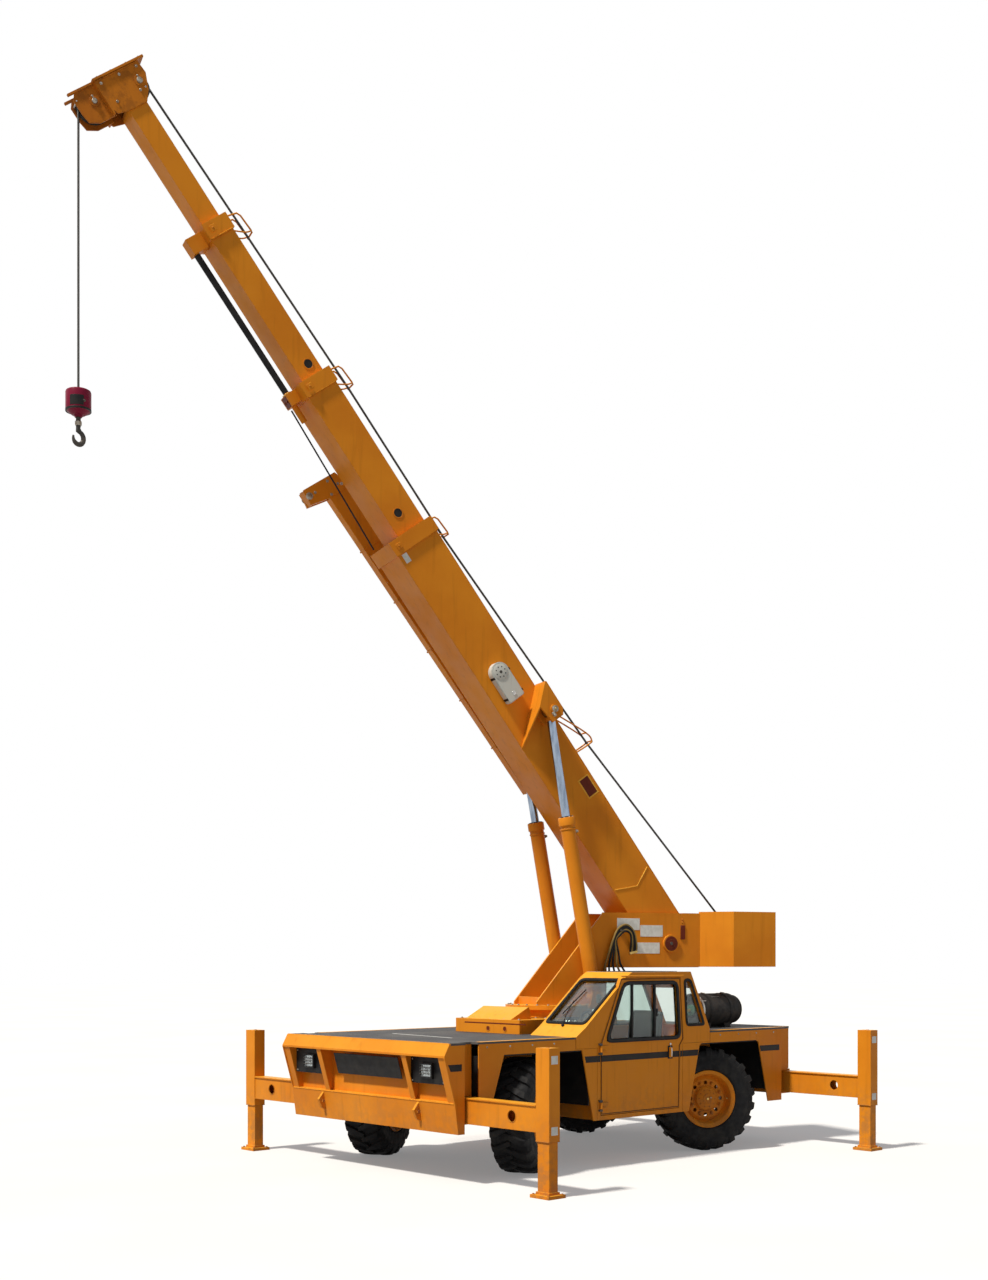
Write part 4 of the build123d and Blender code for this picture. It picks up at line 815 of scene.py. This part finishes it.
def slope_band(grow_in, grow_out, over, depth, mat):
    """Flat band on the windscreen's slope, between two offsets from its opening."""
    rings = []
    for g, o in ((grow_in, over), (grow_out, over), (grow_out, over + depth), (grow_in, over + depth)):
        a, b, c, d = .050 - g, (HEAD - FOOT).length - .045 + g, IN_X + .050 - g, OUT_X - .050 + g
        corners = rounded([(a, c), (b, c), (b, d), (a, d)], .045 + max(0.0, g))
        rings.append([slope_point(q.x, o, q.y) for q in corners])
    p.skin(rings, mat, True)


slope_band(-.020, .016, -.002, .009, SEAL)
slope_band(-.010, .006, .005, .005, BLACK)
# wiper: pivot, arm and blade on the screen; rain gutter over the door
p.stack(slope_point(.012, .002, IN_X + .31), (0, -RISE.y, RISE.x), (BLACK, 16, (0, .016), (.014, .014)))
p.sweep([slope_point(a, o, IN_X + x) for a, o, x in ((.012, .014, .31), (.20, .016, .24), (.36, .012, .20))],
    .0045, BLACK)
p.sweep([slope_point(.18, .002, IN_X + .175), slope_point(.54, .002, IN_X + .225)], .006, SEAL)
p.sweep([(OUT_X, 2.10, 1.822), (OUT_X, 3.02, 1.822)], .007)
p.done()

p = Piece("roof_hatch_frame", "chassis", CHASSIS)
hx0, hx1, hy0, hy1 = IN_X + .090, OUT_X - .090, 2.330, 2.980
border(p, (hx0, hy0, hx1, hy1), (hx0 - .02, hy0 - .02, hx1 + .02, hy1 + .02),
    lambda x, y, far: (x, y, (1.8595, 1.8665)[far]), SEAL, .002)
for k in range(1, 6):
    x = hx0 + (hx1 - hx0) * k / 6
    p.rod((x, hy0, 1.853), (x, hy1, 1.853), .006, "pale_roof", 10)
p.done()
p = Piece("cab_roof_cap", "chassis", CHASSIS)
border(p, (hx0 - .022, hy0 - .022, hx1 + .022, hy1 + .022), (IN_X + .004, 2.256, OUT_X - .004, 3.124),
    lambda x, y, far: (x, y, (1.8600, 1.8622)[far]), "pale_roof", .001)
p.done()

# seat: stand and two cushions
SEAT_LO, SEAT_HI = local("cab_seat", CHASSIS)
SEAT_X = (SEAT_LO.x + SEAT_HI.x) / 2
p = Piece("seat_stand", "chassis", CHASSIS @ Matrix.Translation((SEAT_X, 0, 0)))
p.box((-.145, 2.375, SEAT_LO.z), (.145, 2.745, .640), BLACK, .012)
p.box((-.185, 2.340, .640), (.185, 2.780, .690), DARK, .006)
for x in (-.16, .16):
    p.box((x - .012, 2.33, .690), (x + .012, 2.79, .708), BRIGHT, .002)
p.box((-.17, 2.785, .70), (.17, 2.800, 1.36), BLACK, .006)
p.done()


def cushion(name, centre, half, lean):
    """Crowned, closed pad: a rounded box with a puffed top and panel seams."""
    n = 15  # points each way
    tilt = Matrix.Rotation(radians(lean), 4, "X")
    points, faces = [], []
    for top in BOTH:
        for i in range(n):
            for j in range(n):
                u, v = -1 + 2 * i / (n - 1), -1 + 2 * j / (n - 1)
                puff = ((1 - abs(u) ** 6) * (1 - abs(v) ** 6)) ** (1 / 3)
                crown = 1.0 + (.12 * (1 - u * u) * (1 - v * v) if top > 0 else 0.0)
                seam = .045 * exp(-((abs(v) - .42) / .05) ** 2) if top > 0 else 0.0
                z = top * half[2] * (.30 + .70 * puff) * crown - seam * half[2]
                squeeze = 1.0 - .025 * abs(u * v) ** 3
                spot = Vector((u * half[0] * squeeze, v * half[1] * squeeze, min(z, half[2] * 1.05)))
                points.append(Vector(centre) + tilt @ spot)
    for base, way in ((0, 1), (n * n, -1)):
        faces += [[a, a + n, a + n + 1, a + 1][::way] for i in range(n - 1) for j in range(n - 1)
            for a in [base + i * n + j]]
    edge = [i * n for i in range(n)] + [(n - 1) * n + j for j in range(1, n)]
    edge += [i * n + n - 1 for i in range(n - 2, -1, -1)] + list(range(n - 2, 0, -1))
    faces += [[a, b, n * n + b, n * n + a] for a, b in zip(edge, edge[1:] + edge[:1])]
    piece = Piece(name, "chassis", CHASSIS)
    piece.put(points, faces, "seat")
    return piece.done(sharp=60.0)


cushion("seat_cushion", (SEAT_X, 2.555, .765), (.218, .232, .060), 3.0)
back_pad = cushion("seat_backrest", (SEAT_X, 2.765, 1.135), (.210, .335, .055), 82.0)
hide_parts("cab_seat")

# levers, dials, pedals
p = Piece("cab_levers", "chassis", CHASSIS)
for x in (.705, .745, .785, .825):
    foot, top = Vector((x, 1.80, 1.262)), Vector((x, 1.87, 1.395))
    p.sweep(curve_through([foot, foot.lerp(top, .5) - Y * .008, top], 4), .0055, BRIGHT)
    p.stack(top - Z * .010, top - foot, (BLACK, 14, (0, .010), (.012, .019), (.028, .019), (.038, .010)))
    p.stack(foot, (0, .3, 1), (SEAL, 14, (0, .020), (.012, .014), (.022, .009)))
for x in (.76, .84, .92, 1.00):
    p.stack((x, 1.640, 1.292), (0, .10, 1), ("dial", 24, (0, .034), (.012, .034), (.014, .030)))
    p.ring((x, 1.640, 1.292), (0, .10, 1), .031, .036, .016, BRIGHT)
p.stack((.915, 2.048, 1.330), (0, .8, .6), (BLACK, 20, (0, .030), (.030, .030), (.034, .022)))
for x in (.830, 1.000):
    p.box((x - .035, 1.915, .58), (x + .035, 1.930, .70), SEAL, .004)
    p.rod((x, 1.900, .60), (x, 1.918, .64), .007, BOLT, 8)
p.box((.665, 2.35, .720), (.700, 2.80, .735), BLACK, .004)
p.done()


# ---------------- chassis: stripes, lamps, plates
HALF = 1.220
STRIPE_LOW, STRIPE_HIGH = 1.008, 1.068


def stripe(piece, side, spans):
    """Black bands on the body's side, each of (front and rear at its low edge, front and rear at its high edge)."""
    for a, b, c, d in spans:
        outline = ((a, STRIPE_LOW), (c, STRIPE_HIGH), (d, STRIPE_HIGH), (b, STRIPE_LOW))
        piece.prism([(side * (HALF + .0006), y, z) for y, z in outline], X * side, .0012, "stripe_black")


for word, side in SIDES:
    left = side > 0
    p = Piece("side_stripe_" + word, "chassis", CHASSIS)
    stripe(p, side, ((1.603, 1.760, 1.586, 1.760), (1.762, 1.799, 1.762, 1.799), (2.962, 2.998, 2.966, 2.998),
            (3.004, 3.236, 3.004, 3.251)) if left else ((1.603, 3.236, 1.586, 3.251),))
    stripe(p, side, ((4.275, 4.600, 4.258, 4.600), (-.090, .040, -.118, .040)))
    p.done()
    # rolled strips along the deck's edge, with bolts below and a painted margin on top
    p = Piece("fender_strip_" + word, "chassis", CHASSIS)
    for y0, y1 in ((3.45, 4.63), (.255, 1.455 if left else 3.43)):
        p.rod((side * (HALF - .012), y0, 1.238), (side * (HALF - .012), y1, 1.238), .0115, PAINT, 12, .004)
    for y in (.34, .62, .90, 1.18, 3.60, 3.90, 4.20, 4.50):
        p.stack((side * HALF, y, 1.205), X * side, (BOLT, 10, (0, .010), (.003, .009)))
    for y0, y1 in ((.262, 1.462), (3.45, 4.755)) if left else ((.262, 4.755),):
        p.box((side * 1.150, y0, 1.2528), (side * (HALF - .001), y1, 1.2545), PAINT, .0005)
    p.done()

p = Piece("door_stripe", "cab_door", CHASSIS)
stripe(p, 1, ((1.808, 2.951, 1.808, 2.954),))
p.done()

# nose: blank black panel between the ribs, lip and drip edge of the deck, skirt seam, tow eyes' plates
p = Piece("nose_fittings", "chassis", CHASSIS)
p.prism([(x, -.104 + (1.128 - z) * .122 / .409, z) for x, z in ((-.460, .905), (-.460, 1.100), (.500, 1.100),
        (.500, .905))], (0, -1, -.28), .006, BLACK)
for y, z, r in ((-.098, 1.2515, .0045), (-.1565, 1.1465, .004), (-.0385, .722, .0045)):
    p.sweep([(-1.205, y, z), (1.205, y, z)], r)
for side in BOTH:
    for x in (.6985, .7315):
        p.ring((side * x, -.045, .622), X * side, .0185, .032, .0025)
p.done()

p = Piece("front_lamp_units", "chassis", CHASSIS)
for cx in (.8825, -.8825):
    p.box((cx - .0715, -.0755, .9455), (cx + .0715, -.0745, 1.0565), "lamp_bowl", .0004)
    for x in (cx + .036, cx - .036):
        p.lathe([(0, .030), (.004, .033), (.010, .033), (.010, .028)], (x, -.076, 1.001), -Y, "lamp_bowl", 28, True)
    p.box((cx - .0715, -.0885, .9455), (cx + .0715, -.0855, 1.0565), "lamp_glass", .001)
    border(p, (cx - .069, .948, cx + .069, 1.054), (cx - .078, .938, cx + .078, 1.064),
        lambda x, z, far: (x, (-.0945, -.0855)[far], z), BLACK, .002)
    for k in range(1, 4):  # guard bars
        z = .9455 + .111 * k / 4
        p.rod((cx - .075, -.0955, z), (cx + .075, -.0955, z), .0025, DARK, 8)
    for x in (cx - .215, cx + .215):
        for z in (.905, 1.097):
            p.bolt((x, -.062, z), -Y, .007)
p.done()

# deck: worn pale line, flush bolts along its seams
p = Piece("deck_fittings", "chassis", CHASSIS)
DECK = 1.253
p.prism([(-.526, .665, DECK), (-.526, .687, DECK), (.507, .560, DECK), (.507, .538, DECK)], Z, .0012, "plate")
for mat, spots in ((DARK, [(-1.10 + .275 * k, 1.41) for k in range(9)]),
        (BOLT, [(-1.16, 1.65 + .40 * k) for k in range(8)] + [(.42, 2.95 + .38 * k) for k in range(5)])):
    for spot in spots:
        p.stack((*spot, DECK), Z, (mat, 12, (0, .011), (.0022, .009)))
p.done()

# pedestal: slot line and two holes in its front, the holes' insides as maroon discs of painted shade, bolts, seam
# round the ring
p = Piece("pedestal_fittings", "chassis", CHASSIS)
PED_Y, PED_TOP, RING_R = SLEW_Y - .894, 1.391, .448
for x in (.017, .261):
    # painted shade: a maroon disc stands for the hole's shaded inside
    p.stack((x, PED_Y, 1.300), -Y, ("maroon", 24, (0, .024), (.0012, .024)))
    p.ring((x, PED_Y, 1.300), -Y, .023, .030, .003)
p.box((-.335, PED_Y - .0012, 1.345), (.56, PED_Y, 1.358), "maroon", .0004)
for x in (-.42, -.21, .0, .21, .42):
    for y in (PED_Y + .04, 2.80):
        p.bolt((x, y, PED_TOP), Z, .011)
p.bolt_ring((0, SLEW_Y, PED_TOP), Z, RING_R, 28, .010)
p.sweep(circle(Vector((0, SLEW_Y, PED_TOP + .003)), X, Y, RING_R, 48), .004, SEAL, 6, True)
p.done()

# tail: grille blades, lamps
p = Piece("tail_fittings", "chassis", CHASSIS)
TAIL = 4.900
for z in (.880, .940, 1.000, 1.060, 1.120):
    for k in range(1, 9):
        x = -.42 + .84 * k / 9
        p.box((x - .003, TAIL - .010, z), (x + .003, TAIL - .002, z + .026), BLACK, .001)
for side in BOTH:
    for x, mat in ((.98, "red_lens"), (.86, "amber_lens")):
        p.stack((side * x, TAIL, 1.12), Y, (BLACK, 28, (0, .050), (.004, .050), (.008, .046)),
            (mat, 28, (.006, .043), (.018, .040), (.024, .028)))
    for z in (.85, 1.18):
        p.bolt((side * .58, TAIL, z), Y, .009)
p.done()

# air cleaner, in its own frame on the body's axis: clamps, end ring, cover, catches
(x0, y0, z0), (x1, y1, z1) = local("air_cleaner", CHASSIS)
r = (x1 - x0) / 2
p = Piece("air_cleaner_fittings", "chassis", CHASSIS @ Matrix.Translation(((x0 + x1) / 2, y0, z1 - r)))
for y in (.115, .445):
    p.ring((0, y, 0), Y, r + .0005, r + .0035, .030, BLACK, 48)
    p.rod((.02, y + .015, r + .008), (.075, y + .015, r + .002), .006, BOLT, 10)
p.lathe([(0, r - .03), (-.006, r - .020), (-.006, r - .075), (0, r - .08)], (0, 0, 0), Y, BLACK, 48, True)
p.ring((0, -.004, 0), Y, r - .008, r + .002, .022, BRIGHT, 48)
p.stack((0, 0, 0), -Y, ("green_paint", 32, (0, .060), (.020, .060), (.026, .052)),
    (BRASS, 6, (.026, .018), (.046, .018)))
for a in (35, 155, 275):
    spot = Vector((cos(radians(a)) * (r + .002), .010, sin(radians(a)) * (r + .002)))
    p.sweep([spot, spot + Y * .035, spot + Y * .055], .005, BRIGHT)
p.box((r * .60, .20, r * .795), (r * .66, .33, r * .80), "plate", .0004)
p.done()

# ---------------- outriggers
LEG_HALF = .080  # leg tube's outer face from its middle
for end, way in zip(ENDS, (-1, 1)):
    for word, side in SIDES:
        spot = f"{end}_{word}"
        lo, hi = local("outrigger_beam_" + spot, CHASSIS)
        leg = Matrix.Translation((side * (max(-lo.x, hi.x) - LEG_HALF), (lo.y + hi.y) / 2, 0))
        p = Piece("outrigger_gear_" + spot, "outrigger_beam_" + spot, CHASSIS @ leg)
        # blank plates near the ends of the leg tube, cap plate, lower rim
        for z in (1.115, .525):
            p.box((side * LEG_HALF, -.038, z), (side * (LEG_HALF + .0012), .038, z + .070), "plate", .0003)
        p.stack((0, 0, hi.z), Z, (LOW, 16, (0, .018), (.004, .016)))
        p.sweep([(side * x, y, .469) for x, y in ((-.079, -.061), (.079, -.061), (.079, .061), (-.079, .061))],
            .004, LOW, 6, True)
        # beam hole's rolled edge, weld lines
        p.ring((side * 1.790 - leg.translation.x, way * .055, .655), Y * way, .049, .056, .003, LOW, 28)
        for y in (-.050, .050):
            p.sweep([(-side * LEG_HALF, y, .545), (-side * LEG_HALF, y, .760)], .003, LOW, 6)
        p.done()
        p = Piece("outrigger_foot_" + spot, "outrigger_leg_" + spot, CHASSIS @ leg)
        for x in (-.092, .092):
            for y in (-.080, .080):
                p.bolt((x, y, .028), Z, .009, LOW)
        p.done()

# ---------------- lift cylinders
for word, _ in SIDES:
    way = axis("lift_rod_" + word)
    BAR = frame_of(place("lift_cylinder_" + word), SIDE, way.cross(SIDE), way)
    p = Piece("lift_barrel_gear_" + word, "lift_barrel_" + word, BAR)
    for mat, steps, *profile in (
            (LOW, 40, (1.772, .076), (1.772, .086), (1.850, .086), (1.856, .082), (1.856, .046), (1.846, .046),
                (1.846, .076)),
            (SEAL, 32, (1.856, .0435), (1.856, .062), (1.864, .060), (1.866, .0435)),
            *((LOW, 40, (z - .010, .0755), (z - .006, .081), (z + .006, .081), (z + .010, .0755))
                for z in (.150, 1.735))):
        p.lathe(profile, (0, 0, 0), Z, mat, steps, True)
    for at in circle(Z * 1.856, X, Y, .070, 8):
        p.bolt(at, Z, .0065)
    for z in (.185, 1.700):
        p.stack((0, .074, z), Y, (BOLT, 14, (0, .020), (.016, .020), (.018, .014), (.034, .014)))
    for s in BOTH:
        p.stack((s * .050, 0, 0), X * s, (LOW, 28, (0, .058), (.006, .058), (.008, .052)))
    p.done()
    p = Piece("lift_rod_eye_" + word, "lift_rod_" + word, BAR)
    eye = local("lift_rod_" + word, BAR)[1].z - .068
    for s in BOTH:
        p.ring((s * .048, 0, eye), X * s, .034, .066, .004, LOW, 32)
    p.lathe([(-.105, .0428), (-.100, .056), (-.066, .058), (-.060, .0428)], (0, 0, eye), Z, LOW, 32, True)
    p.stack((0, .066, eye), Y, (BRASS, 8, (0, .006), (.012, .005)))
    p.done()

p = Piece("bracket_pins", "boom", BOOM)
for s in BOTH:
    p.stack(on(s * .482, 2.760, .220), X * s, (BOLT, 28, (0, .034), (.010, .034), (.013, .030)),
        (BRASS, 8, (.013, .006), (.027, .005)))
    p.box(on(s * .482, 2.70, .160), on(s * .490, 2.748, .196), BOLT, .002)
    p.bolt(on(s * .490, 2.715, .178), X * s, .008)
    p.sweep([on(s * .265, 2.99, .305), on(s * .46, 2.99, .305)], .005, PAINT, 6)
p.done()

# zigzag weld bead near the boom's foot, seams along its edges
p = Piece("boom_welds", "boom", BOOM)
for s in BOTH:
    p.sweep(row(s * .2385, (.833, -.191), (.714, .048), (.803, .265)), .006, "weld", 6)
    for above in (-.207, .289):
        p.sweep(row(s * .2365, (.0, above), (4.83, above)), .0045, PAINT, 6)
p.done()

# blank warning plate near the foot, small silver one by the mouth
p = Piece("boom_blank_plates", "boom", BOOM)
p.box(on(.2382, 1.760, .120), on(.2395, 1.985, .262), "weld", .0005)
p.box(on(.2394, 1.775, .135), on(.2402, 1.970, .247), "maroon", .0003)
p.box(on(.2382, 4.735, -.175), on(.2402, 4.830, -.115), "plate", .0005)
p.done()


# ---------------- turret
PLATE_OUT = .270
p = Piece("turret_fittings", "turret", TURRET)
for s in BOTH:
    x = s * PLATE_OUT
    foot_pin = (x, 1.278, 2.151)
    p.lathe([(0, .076), (0, .094), (.006, .094), (.009, .088), (.009, .076)], foot_pin, X * s, PAINT, 48, True)
    p.ring(foot_pin, X * s, .0455, .077, .0195, "maroon", 48)
    p.stack(foot_pin, X * s, ("maroon", 36, (.018, .0455), (.021, .044)), (DARK, 20, (.021, .018), (.027, .016)))
    # base pins of the lift cylinders
    p.stack((s * .440, .323, 1.600), X * s, (BOLT, 24, (0, .034), (.008, .034), (.011, .029)))
    p.box((s * .433, .300, 1.540), (s * .441, .346, 1.572), BOLT, .002)
    p.bolt((s * .441, .323, 1.556), X * s, .008)
    # small bracket where plate and weight meet, weld lines
    p.box((x, 1.400, 2.195), (x + s * .010, 1.455, 2.345), "maroon")
    for z in (2.375, 2.405):
        p.bolt((x, 1.425, z), X * s, .010, LOW)
    p.sweep([(x + s * .002, .500, 1.530), (x + s * .002, .505, 1.895)], .006, LOW, 6)
    p.sweep([(x + s * .002, -.290, 1.526), (x + s * .002, .495, 1.526)], .007, LOW, 6)
p.bolt_ring((0, 0, 1.520), Z, .440, 24, .011)
p.done()

p = Piece("turret_blank_plates", "turret", TURRET)
for y, z, w, h in ((.634, 2.290, .270, .122), (.912, 2.222, .270, .120), (.855, 2.045, .290, .115)):
    p.box((PLATE_OUT + .0002, y, z), (PLATE_OUT + .0022, y + w, z + h), "plate", .0005)
    for dy in (.008, w - .008):
        for dz in (.008, h - .008):
            p.stack((PLATE_OUT + .0022, y + dy, z + dz), X, (BOLT, 8, (0, .003), (.0012, .003)))
p.done()

p = Piece("turret_hoses", "turret", TURRET)
FITTING = (BRASS, 8, (0, .015), (.020, .015), (.022, .011))
for k, mat in enumerate(("hose_tan", "hose", "hose", "hose_tan", "hose")):
    w = .017 * k
    route = [(.262, .860 - w, 2.060), (.300, .850 - w, 2.130), (.315, .810 - w * .6, 2.270 - w * .4),
        (.318, .720 - w * .2, 2.345 - w), (.316, .620 + w * .3, 2.300 - w), (.314, .560 + w * .6, 2.180),
        (.308, .520 + w * 1.6, 2.060), (.300, .480 + w * 2.6, 1.940), (.285, .470 + w * 3.6, 1.860),
        (.262, .465 + w * 4, 1.820)]
    p.sweep(curve_through(route), .0105, mat, 10)
    p.stack((.262, .860 - w, 2.060 - .004 * k), (1, 0, .3), FITTING)
    p.stack(route[-1], (1, 0, .5), FITTING)
p.box((.271, .640, 2.275), (.336, .700, 2.290), DARK)
for dx in (.0, .022, .044):
    p.sweep(curve_through([(dx + x, y, z) for x, y, z in ((-.04, .10, 1.530), (-.04, .28, 1.640), (-.05, .52, 1.860),
            (-.05, .95, 1.960), (-.05, 1.30, 1.990), (-.05, 1.62, 1.960))]),
        .011, "hose")
p.done()

p = Piece("winch_motor", "turret", TURRET @ Matrix.Translation((0, WINCH.y, WINCH.z)))
p.stack((.180, 0, 0), X, ("cast_black", 28, (0, .062), (.006, .066), (.018, .066), (.020, .056)))
p.bolt_ring((.2000, 0, 0), X, .045, 6, .0055)
for s in BOTH:
    p.bolt_ring((s * .180, 0, 0), X * s, .145, 10, .0075)
p.done()

# ---------------- hoist line, block and hook
LINE_LO, LINE_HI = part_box("hoist_line")
PLUMB = Matrix.Translation(((LINE_LO.x + LINE_HI.x) / 2, (LINE_LO.y + LINE_HI.y) / 2, 0))
p = Piece("hoist_line_rope", "hook_line", PLUMB)
p.sweep([(0, 0, LINE_LO.z + (LINE_HI.z - LINE_LO.z) * k / 30) for k in range(31)], .0108, "wire", 12)
p.done("hoist_line")

BLOCK_LO, BLOCK_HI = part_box("hook_block")
low, high = BLOCK_LO.z, BLOCK_HI.z
p = Piece("hook_block_gear", "hook_line", PLUMB)
p.lathe([(low, .0), (low, .034), (low + .020, .040), (low + .022, .062), (low + .050, .098), (low + .056, .112),
        (low + .062, .1145), (high - .024, .1145), (high - .010, .110), (high - .004, .100), (high, .036),
        (high, .0)], (0, 0, 0), Z, "red_paint", 48, True)
p.lathe([(.052, .100), (.052, .1155), (.068, .1158), (.068, .100)], (0, 0, low), Z, BLACK, 48, True)
p.stack((0, 0, high), Z, (BOLT, 6, (-.002, .024), (.010, .024), (.016, .016)))
# painted shade of a recess on the side: a band of black strips that follow the barrel
for k in range(7):
    a = radians(-62 + 9 * k)
    u, v = Vector((cos(a), sin(a), 0)), Vector((-sin(a), cos(a), 0)) * .0092
    lower, upper = u * .1148 + Z * (low + .080), u * .1148 + Z * (high - .075)
    p.prism([lower - v, lower + v, upper + v, upper - v], u, .0010, BLACK)
for s in BOTH:
    p.bolt((s * .114, 0, (low + high) / 2), X * s, .010, DARK)
p.done("hook_block")

HOOK_LO, HOOK_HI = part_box("hook")
p = Piece("load_hook", "hook", PLUMB)
hub = HOOK_LO.z + .080
track, fat = [Z * (hub + .150), Z * (hub + .105)], [.022, .022]
for k in range(29):  # bowl from the shank round to the tip
    a, t = radians(96 - 292 * k / 28), k / 28
    track.append(Vector((0, cos(a) * .050, hub + sin(a) * .058)))
    fat.append(.019 + .0045 * sin(pi * min(1.0, t * 1.15)) - .010 * max(0.0, t - .8) / .2)
rings = []
for i, (spot, r) in enumerate(zip(track, fat)):
    tangent = (track[min(i + 1, len(track) - 1)] - track[max(i - 1, 0)]).normalized()
    rings.append(circle(spot, X * .85, tangent.cross(X), r, 12))
p.skin(rings, DARK)
p.stack((0, 0, HOOK_HI.z - .075), Z, (BOLT, 6, (0, .028), (.010, .034), (.034, .034), (.040, .026)))
p.rod((0, 0, HOOK_HI.z - .06), (0, 0, HOOK_HI.z), .022, DARK)
p.sweep([(0, .046, hub + .036), (0, .016, hub + .086)], .0060, DARK)
p.done("hook")

# ---------------- axles: bolts, hoses, steering cylinders' ends
for end in ENDS:
    middle = place(f"steer_{end}_left")
    middle.x = CHASSIS.translation.x
    p = Piece(end + "_axle_fittings", "chassis", Matrix.Translation(middle))
    p.ring((0, -.012, 0), Y, .150, .207, .024, "cast_black", 40)
    for s in BOTH:
        for x in (.344, .416):
            for y in (-.055, .055):
                p.bolt((s * x, y, 0), -Z, .011)
        p.stack((s * .560, .175, .020), X * s, (BOLT, 14, (0, .020), (.030, .020)))
        p.sweep(curve_through([(s * .20, .213, .035), (s * .22, .250, .060), (s * .30, .235, .15),
                (s * .335, .14, .24)]), .009, "hose")
        p.bolt_ring((s * .205, 0, 0), X * s, .070, 8, .009)
    p.done()


# ---------------- camera, light, floor
FOCAL = 1.18659  # in picture heights
HORIZON_BELOW = 0.24863  # horizon below the middle, in picture heights
SENSOR = 36.0
CAMERA_FROM_SLEW = Vector((11.182, -11.090, 0.476))
CAMERA_HEADING = 47.376

camera_data = bpy.data.cameras.new("camera")
camera_data.sensor_width = SENSOR
camera_data.lens = SENSOR * FOCAL
camera_data.shift_y = HORIZON_BELOW
camera_data.clip_end = 500.0
camera = bpy.data.objects.new("camera", camera_data)
camera.location = place("slew") + CAMERA_FROM_SLEW
camera.rotation_euler = (radians(90.0), 0.0, radians(CAMERA_HEADING))
SCENE.collection.objects.link(camera)
SCENE.camera = camera

sun = bpy.data.lights.new("key", "SUN")
sun.energy, sun.angle, sun.color = 4.05, radians(5.0), (1.0, 0.96, 0.88)
lamp = bpy.data.objects.new("key", sun)
lamp.rotation_euler = Vector((0.03, 0.56, -0.83)).to_track_quat("-Z", "Y").to_euler()
SCENE.collection.objects.link(lamp)


def seen_share(tree):
    """1 for rays that see the background: from the camera, off gloss, or through glass."""
    rays = tree.add("LightPath")
    seen = tree.math("ADD", rays.outputs["Is Camera Ray"], rays.outputs["Is Glossy Ray"], clamp=True)
    return tree.math("ADD", seen, rays.outputs["Is Transmission Ray"], clamp=True)


world = bpy.data.worlds.new("studio")
SCENE.world = world
sky = Tree(world, "OutputWorld")
shade = sky.mix(seen_share(sky), (0.24, 0.25, 0.27), (1.0, 1.0, 1.0))
sky.surface(sky.add("Background", {"Color": shade}).outputs[0])

t = material("studio_floor")
pale = t.patches(0.4, 3.0, 0.3, 0.7, (0.82, 0.81, 0.80), (0.86, 0.85, 0.84))
seen = seen_share(t)
lit = t.add("BsdfDiffuse", {"Color": t.mix(seen, (0.40, 0.40, 0.40), pale)}).outputs[0]
glow = t.add("Emission", {"Color": (1.0, 1.0, 1.0), "Strength": 1.0}).outputs[0]
t.surface(t.blend(t.times(seen, 0.22), lit, glow))

REACH, CELLS = 90.0, 12
line = [-REACH + 2 * REACH * k / CELLS for k in range(CELLS + 1)]
floor_mesh = bpy.data.meshes.new("studio_floor")
floor_mesh.from_pydata([(x, y, 0.0) for y in line for x in line], [],
    [[a, a + 1, a + CELLS + 2, a + CELLS + 1] for r in range(CELLS) for c in range(CELLS)
        for a in [r * (CELLS + 1) + c]])
floor_mesh.materials.append(t.owner)
floor = bpy.data.objects.new("studio_floor", floor_mesh)
floor.location.z = CAD_BOX[0].z - 0.0005
SCENE.collection.objects.link(floor)
SCENE.view_settings.view_transform = "Standard"


# ---------------- end
bpy.context.view_layer.update()
